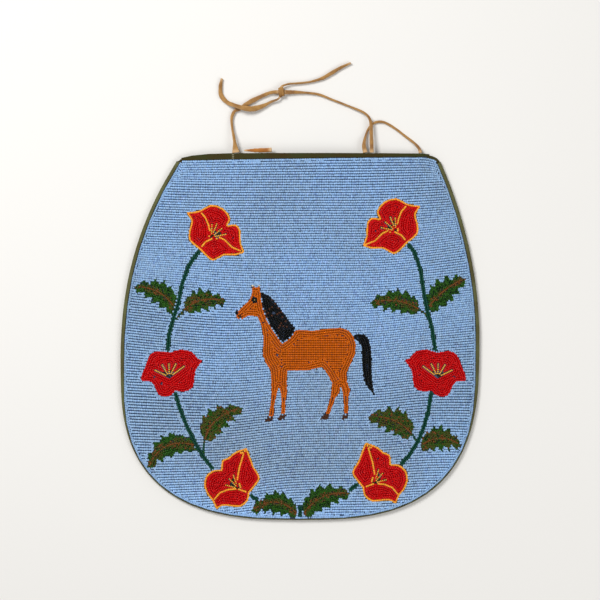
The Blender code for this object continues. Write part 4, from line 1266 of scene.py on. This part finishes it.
BEND_EVENED_OVER = 5
WANDER, WANDER_SIZE = 0.25 * MM, 60 * MM
NEAR_MOUTH = 20 * MM
BELOW_FIELD = 16 * MM

bend_x = np.arange(-BEND_REACH[0], BEND_REACH[0] + BEND_STEP, BEND_STEP)
bend_y = np.arange(-BEND_REACH[1], BEND_REACH[1] + BEND_STEP, BEND_STEP)
tilt_along = np.array([np.interp(bend_x, TILT_X, line) for line in TILTS])
tilt_table = np.array([np.interp(bend_y, TILT_Y, column) for column in tilt_along.T])
for axis in (0, 1):
    margin = BEND_EVENED_OVER // 2
    padded = np.pad(tilt_table, [(margin * (a == axis),) * 2 for a in (0, 1)], "edge")
    tilt_table = sum(np.take(padded, np.arange(k, k + tilt_table.shape[axis]), axis)
                     for k in range(BEND_EVENED_OVER)) / BEND_EVENED_OVER
climb = np.cumsum(np.tan(np.radians(tilt_table)), axis=0) * BEND_STEP
climb = climb - climb[len(bend_x) // 2]


def row_shift(x, y):
    """How far a row has climbed at a place."""
    i = np.clip((np.asarray(x) - bend_x[0]) / BEND_STEP, 0, len(bend_x) - 1.001)
    j = np.clip((np.asarray(y) - bend_y[0]) / BEND_STEP, 0, len(bend_y) - 1.001)
    a, b = i.astype(int), j.astype(int)
    f, g = i - a, j - b
    near = climb[a, b] * (1 - f) + climb[a + 1, b] * f
    far = climb[a, b + 1] * (1 - f) + climb[a + 1, b + 1] * f
    wander = soft_noise(x, y, WANDER_SIZE, 21) * WANDER
    bent = near * (1 - g) + far * g + wander
    to_top = np.clip((y - top_edge(0.0) + NEAR_MOUTH) / (NEAR_MOUTH - BORDER_IN), 0, 1)
    return bent * (1 - to_top) + (top_edge(x) - top_edge(0.0)) * to_top


row_heights = [top_edge(0.0) - BORDER_IN]
while row_heights[-1] > field_outline[:, 1].min() - BELOW_FIELD:
    row_heights.append(row_heights[-1] - np.interp(row_heights[-1], ROW_PITCH_Y, ROW_PITCHES))
print(len(row_heights), "rows, climbing up to", round(climb.max() / MM, 1), "mm")

# %% Lay the rows of the ground
JITTER = 0.05 * MM
RIM = 1.1 * MM
GROUND_IN = 0.7 * BORDER_IN
GROUND_ROOM = 1.3 * MM

rng = np.random.default_rng(5)
low, high = field_outline.min(axis=0), field_outline.max(axis=0)
spots, directions = [], []
for y in row_heights:
    xs = np.arange(low[0], high[0], PITCH) + rng.uniform(0, PITCH)
    xs = xs + rng.normal(0, JITTER, len(xs))
    ys = y + row_shift(xs, np.full(len(xs), y)) + rng.normal(0, JITTER, len(xs))
    spots.append(np.column_stack([xs, ys]))
    before, after = (row_shift(xs + step, np.full(len(xs), y)) for step in (-PITCH, PITCH))
    directions.append(unit(np.column_stack([np.full(len(xs), 2 * PITCH), after - before])))
spots, directions = np.vstack(spots), np.vstack(directions)
usable = (border_field.at(spots) > GROUND_IN) & (from_motifs(spots) > -RIM)
ground_count = lay(spots[usable], directions[usable], "ground_beads", "blue", GROUND_ROOM)
print(ground_count, "beads in the ground,", len(beads), "in all")

# %% [markdown]
# Where a row ends beside a motif or the border, the sewer squeezed in one more
# bead. We look for such places along the rows first, and then anywhere in the
# narrow strip beside the outlines.

# %% Close the gaps beside the motifs and the border
STRIP = 2.6 * MM
FROM_BORDER = 0.9 * MM
SQUEEZE = 1.12 * MM
ROW_STEP, GRID_STEP = 0.35 * MM, 0.7 * MM


def squeeze_in(spots):
    """Lays beads one by one at those places that are on the ground, near its outlines."""
    border, motif = border_field.at(spots), from_motifs(spots)
    near = (border < STRIP) | (motif < STRIP)
    spots = spots[near & (border > FROM_BORDER) & (motif > 0)]
    # the squeezed beads take the darker blue, a painted shade for the seams they hide
    return lay_singly(spots, [ACROSS] * len(spots), "ground_beads", "edge_blue", SQUEEZE)


squeezed = 0
xs = np.arange(low[0], high[0], ROW_STEP)
for y in row_heights:
    squeezed += squeeze_in(np.column_stack([xs, y + row_shift(xs, np.full(len(xs), y))]))
grid = grid_points(np.arange(low[1], high[1], GRID_STEP), np.arange(low[0], high[0], GRID_STEP))
squeezed += squeeze_in(grid[:, ::-1])
print(squeezed, "beads squeezed in")

# %% [markdown]
# ## From places to glass
#
# A seed bead is a short barrel with rounded shoulders. Six sides and three
# rings are enough at this size, and keep 29,000 of them light. All beads of
# one field become one mesh, filled from arrays, which is far quicker than
# making objects one by one.

# %% The shape of one bead
SIDES = 6
RINGS = ((-0.5, 0.7), (0.0, 1.0), (0.5, 0.7))

template = np.array([
    (along_bead * BEAD_LONG, radius * BEAD_ACROSS / 2 * math.cos(2 * math.pi * k / SIDES),
     radius * BEAD_ACROSS / 2 * math.sin(2 * math.pi * k / SIDES))
    for along_bead, radius in RINGS for k in range(SIDES)
])
bead_faces = swept_faces(len(RINGS), SIDES)
face_sizes = np.array([len(face) for face in bead_faces])
face_corners = np.concatenate([np.array(face) for face in bead_faces])
print(len(template), "points and", len(bead_faces), "faces in a bead")

# %% Set the beads on the canvas
ABOVE_ALL = 0.1


def tree_of(mesh):
    work = bmesh.new()
    work.from_mesh(mesh)
    tree = BVHTree.FromBMesh(work)
    work.free()
    return tree


def seen_from_above(tree, x, y):
    """The place and the normal where a line straight down meets a surface."""
    return tree.ray_cast(Vector((x, y, ABOVE_ALL)), Vector((0, 0, -1)))[:2]


canvas = cloths["canvas_front"]
canvas_tree = tree_of(canvas.data)
places = np.array([bead[:2] for bead in beads])
ways = np.array([bead[2:4] for bead in beads])
tops, normals = [], []
for x, y in places:
    spot, normal = seen_from_above(canvas_tree, x, y)
    tops.append(spot.z if spot else np.nan)
    normals.append(tuple(normal) if spot else (0, 0, 1))
tops, normals = np.array(tops), unit(np.array(normals))
print("beads beside the canvas:", int(np.isnan(tops).sum()))
tops = np.where(np.isnan(tops), np.nanmedian(tops), tops)

# %% [markdown]
# The tape of the mouth turns the two corners and meets the side tape. Each
# turn is a short flat strip, laid on the canvas just outside the beads, and the
# canvas' own rim gets the tape's finish there. A few pale stitches hold the
# tape where the left thong passes under it.

# %% Rim of the canvas
PAST_FIELD = 0.1 * MM

canvas.data.materials.append(materials["dark_ribbed_tape"])
middles = np.empty(len(canvas.data.polygons) * 3)
canvas.data.polygons.foreach_get("center", middles)
on_rim = border_field.at(middles.reshape(-1, 3)[:, :2]) < -PAST_FIELD
canvas.data.polygons.foreach_set("material_index", on_rim.astype(np.int32))
print(int(on_rim.sum()), "faces of the canvas outside the beads")

# %% Tape round the corners of the mouth
WRAP_WIDTH = 2.6 * MM
WRAP_THICKNESS = 0.6 * MM
WRAP_LIFT = 0.35 * MM
WRAP_UNDER_BAND = 1.5 * MM
WRAP_FROM = 140 * MM
WRAP_SEED = 61

rim_line = moved_out(counter_clockwise(outlines["front_panel"][0]), -WRAP_WIDTH / 2)
band_low, band_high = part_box("front_mouth_band")
for side, word, band_end in ((-1, "left", band_low[0]), (1, "right", band_high[0])):
    name = f"mouth_tape_{word}_corner"
    outwards = rim_line[:, 0] * side
    near = (outwards > band_end * side - WRAP_UNDER_BAND) & (rim_line[:, 1] > WRAP_FROM)
    flat = smooth_route(rim_line[near][np.argsort(outwards[near])], 1.0 * MM)
    heights = np.array([seen_from_above(canvas_tree, x, y)[0].z for x, y in flat])
    line = np.column_stack([flat, heights + WRAP_LIFT])
    widths = np.full(len(line), WRAP_WIDTH)
    mesh = strip_mesh(name, line, widths, [0, 0], WRAP_THICKNESS, WRAP_SEED)
    add_piece(name, mesh, ["dark_ribbed_tape"])
    print(name, round(length_of(line) / MM, 1), "mm long")

# %% Stitches over the left thong
STITCH_AT = -55.8 * MM
STITCH_REACH = 0.9 * MM
STITCH_WIDTH, STITCH_THICKNESS, STITCH_LIFT = 0.6 * MM, 0.4 * MM, 0.12 * MM
STITCH_SEED = 70
FROM_TAPE_EDGES = (0.8 * MM, 0.9 * MM)
PROBE_STEP = 0.2 * MM

tape_tree = tree_of(cloths["mouth_tape_front"].data)
tape_here = [
    y for y in np.arange(band_low[1], band_high[1], PROBE_STEP)
    if seen_from_above(tape_tree, STITCH_AT, y)[0]
]
stitch_low, stitch_high = tape_here[0] + FROM_TAPE_EDGES[0], tape_here[-1] - FROM_TAPE_EDGES[1]
for number, y in enumerate(np.linspace(stitch_low, stitch_high, 3), 1):
    xs = STITCH_AT + np.linspace(-STITCH_REACH, STITCH_REACH, 5)
    line = np.array([seen_from_above(tape_tree, x, y)[0] for x in xs])
    line[:, 2] += STITCH_LIFT
    name = f"mouth_stitch_{number}"
    widths = np.full(len(line), STITCH_WIDTH)
    mesh = strip_mesh(name, line, widths, [0, 0], STITCH_THICKNESS, STITCH_SEED + number)
    add_piece(name, mesh, ["thread"])
print("tape", round((tape_here[-1] - tape_here[0]) / MM, 1), "mm wide under the stitches")

# %% Tints of the beads
TINT_SPREAD = 0.07
WARM_SPREAD = 0.025
NEAR_EDGE_WITHIN = 42 * MM
LOW_FROM, LOW_OVER = 20 * MM, 170 * MM
SIDE_FROM, SIDE_OVER = 80 * MM, 60 * MM
AGE_SIZE = 90 * MM
AGE_GREY, LOW_GREY = 0.14, 0.19
LOW_PALER, NEAR_EDGE_PALER = 0.04, 0.14
GREYING = np.array([0.4, 0.85, 1.25])
SIDE_SHADE = np.array([0.05, 0.06, 0.09])
DARK_BEADS, DARK_TINT = 0.06, (0.78, 0.78, 0.86)
PALE_BEADS, PALE_TINT = 0.05, (1.08, 1.0, 1.04)
LEAST_TINT, MOST_TINT = 0.35, 1.25


def tints(x, y, look, rng):
    """Colour multipliers: each bead a little different, and broad patches of age."""
    count = len(x)
    base = rng.normal(1.0, TINT_SPREAD, count)
    warm = rng.normal(0.0, WARM_SPREAD, count)
    tint_rgb = np.column_stack([base + warm, base, base - warm])
    if look in ("blue", "edge_blue"):  # greyer and paler low down, less grey and paler still by the bottom edge, darker and less blue towards both sides
        age = 0.5 + 0.5 * soft_noise(x, y, AGE_SIZE, 31)
        low_down = np.clip((LOW_FROM - y) / LOW_OVER, 0, 1)
        to_side = np.clip((np.abs(x) - SIDE_FROM) / SIDE_OVER, 0, 1)
        near_edge = np.clip(1 - border_field.at(np.column_stack([x, y])) / NEAR_EDGE_WITHIN, 0, 1)
        low_by_edge = low_down * near_edge
        grey = AGE_GREY * age + LOW_GREY * (low_down - low_by_edge)
        tint_rgb *= 1 - grey[:, None] * GREYING
        tint_rgb *= 1 + LOW_PALER * low_down[:, None] + NEAR_EDGE_PALER * low_by_edge[:, None]
        tint_rgb *= 1 - to_side[:, None] * SIDE_SHADE
        odd = rng.random(count)
        tint_rgb[odd < DARK_BEADS] *= DARK_TINT
        tint_rgb[odd > 1 - PALE_BEADS] *= PALE_TINT
    return np.clip(tint_rgb, LEAST_TINT, MOST_TINT)


# %% Build the bead meshes
SIZE_SPREAD = 0.03
MOTIF_SEED, GROUND_SEED = 100, 200


def bead_mesh(name, chosen, looks_here, seed):
    """One mesh for many beads, with the names of the finishes that it uses."""
    rng = np.random.default_rng(seed)
    count = len(chosen)
    axis = np.column_stack([ways[chosen], np.zeros(count)])
    normal = normals[chosen]
    axis = unit(axis - normal * (axis * normal).sum(axis=1)[:, None])
    across = np.cross(normal, axis)
    share = np.array([SMALLER.get(look, 1.0) for look in looks_here])
    size = (rng.normal(1.0, SIZE_SPREAD, count) * share)[:, None]
    roll = rng.uniform(0, 2 * math.pi / SIDES, count)
    centre = np.column_stack([places[chosen], tops[chosen]]) + normal * BEAD_ACROSS / 2
    local = template[None] * size[:, :, None]
    c, s = np.cos(roll)[:, None], np.sin(roll)[:, None]
    v, w = local[:, :, 1] * c - local[:, :, 2] * s, local[:, :, 1] * s + local[:, :, 2] * c
    corners = (
        centre[:, None] + local[:, :, :1] * axis[:, None]
        + v[:, :, None] * across[:, None] + w[:, :, None] * normal[:, None]
    )
    mesh = bpy.data.meshes.new(name)
    per_bead = len(template)
    mesh.vertices.add(count * per_bead)
    mesh.vertices.foreach_set("co", corners.reshape(-1))
    corner_index = (np.arange(count)[:, None] * per_bead + face_corners[None]).reshape(-1)
    mesh.loops.add(len(corner_index))
    mesh.loops.foreach_set("vertex_index", corner_index)
    mesh.polygons.add(count * len(bead_faces))
    starts = np.concatenate([[0], np.cumsum(np.tile(face_sizes, count))[:-1]])
    mesh.polygons.foreach_set("loop_start", starts)
    smooth = np.tile([len(face) < SIDES for face in bead_faces], count)
    mesh.polygons.foreach_set("use_smooth", smooth)
    used = sorted(set(looks_here))
    index = np.array([used.index(look) for look in looks_here])
    mesh.polygons.foreach_set("material_index", np.repeat(index, len(bead_faces)))
    mesh.update(calc_edges=True)
    colours = np.ones((count, 4))
    for look in used:
        same = np.array([one == look for one in looks_here])
        where_same = chosen[same]
        colours[same, :3] = tints(places[where_same, 0], places[where_same, 1], look, rng)
    stored = mesh.color_attributes.new("bead_tint", "FLOAT_COLOR", "POINT")
    stored.data.foreach_set("color", np.repeat(colours, per_bead, axis=0).reshape(-1))
    return mesh, used


owners = np.array([bead[4] for bead in beads])
looks = np.array([bead[5] for bead in beads])


total = 0
for seed, owner in enumerate(sorted(set(owners) - {"ground_beads"})):
    chosen = np.flatnonzero(owners == owner)
    mesh, used = bead_mesh(f"{owner}_beads", chosen, looks[chosen], MOTIF_SEED + seed)
    add_piece(f"{owner}_beads", mesh, used, [owner])
    total += len(chosen)
print(total, "beads in the motifs")

# %% The ground in strips
GROUND_STRIPS = 5
chosen = np.flatnonzero(owners == "ground_beads")
chosen = chosen[np.argsort(places[chosen, 1])]
for k, part in enumerate(np.array_split(chosen, GROUND_STRIPS)):
    mesh, used = bead_mesh(f"ground_rows_{k + 1}", part, looks[part], GROUND_SEED + k)
    add_piece(f"ground_rows_{k + 1}", mesh, used, ["ground_beads"])
    print("ground strip", k + 1, len(part), "beads")

# %% [markdown]
# ## Floor and light
#
# A plain pale floor and large soft lamps. The level is set so that a colour
# looks about as it is written.

# %% Floor
FLOOR_REACH = 3.0
FLOOR_BELOW = 0.2 * MM

floor_mesh = bpy.data.meshes.new("floor")
floor_corners = [
    (FLOOR_REACH * x, FLOOR_REACH * y, 0) for x, y in ((-1, -1), (1, -1), (1, 1), (-1, 1))
]
floor_mesh.from_pydata(floor_corners, [], [(0, 1, 2, 3)])
floor_finish, _, _ = new_finish("pale_floor", {"Base Color": shade("E6E4E0"), "Roughness": 0.9})
floor_mesh.materials.append(floor_finish)
floor = bpy.data.objects.new("floor", floor_mesh)
bpy.context.scene.collection.objects.link(floor)
floor.location = (0, 0, -FLOOR_BELOW)

# %% Lamps
def area_lamp(name, at, size, power):
    data = bpy.data.lights.new(name, "AREA")
    data.shape = "DISK"
    data.size = size
    data.energy = power
    lamp = bpy.data.objects.new(name, data)
    bpy.context.scene.collection.objects.link(lamp)
    lamp.location = at
    lamp.rotation_euler = (-Vector(at)).to_track_quat("-Z", "Y").to_euler()


area_lamp("key_lamp", (-0.7, 0.8, 1.3), size=0.7, power=22)
area_lamp("fill_lamp", (0.9, -0.5, 1.2), size=1.0, power=8)
ROOM_LIGHT = 0.35
world = bpy.data.worlds.new("soft_room")
world.use_nodes = True
background = world.node_tree.nodes["Background"].inputs
background["Color"].default_value = (1, 1, 1, 1)
background["Strength"].default_value = ROOM_LIGHT
bpy.context.scene.world = world
bpy.context.scene.view_settings.view_transform = "Standard"

# %% [markdown]
# ## Sheets, sizes and the end
#
# The two panels are sheets of cloth, cut to the bag's outline.

for name, node_name in (("canvas_front", "front_panel"), ("cloth_back", "back_panel")):
    low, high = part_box(node_name)
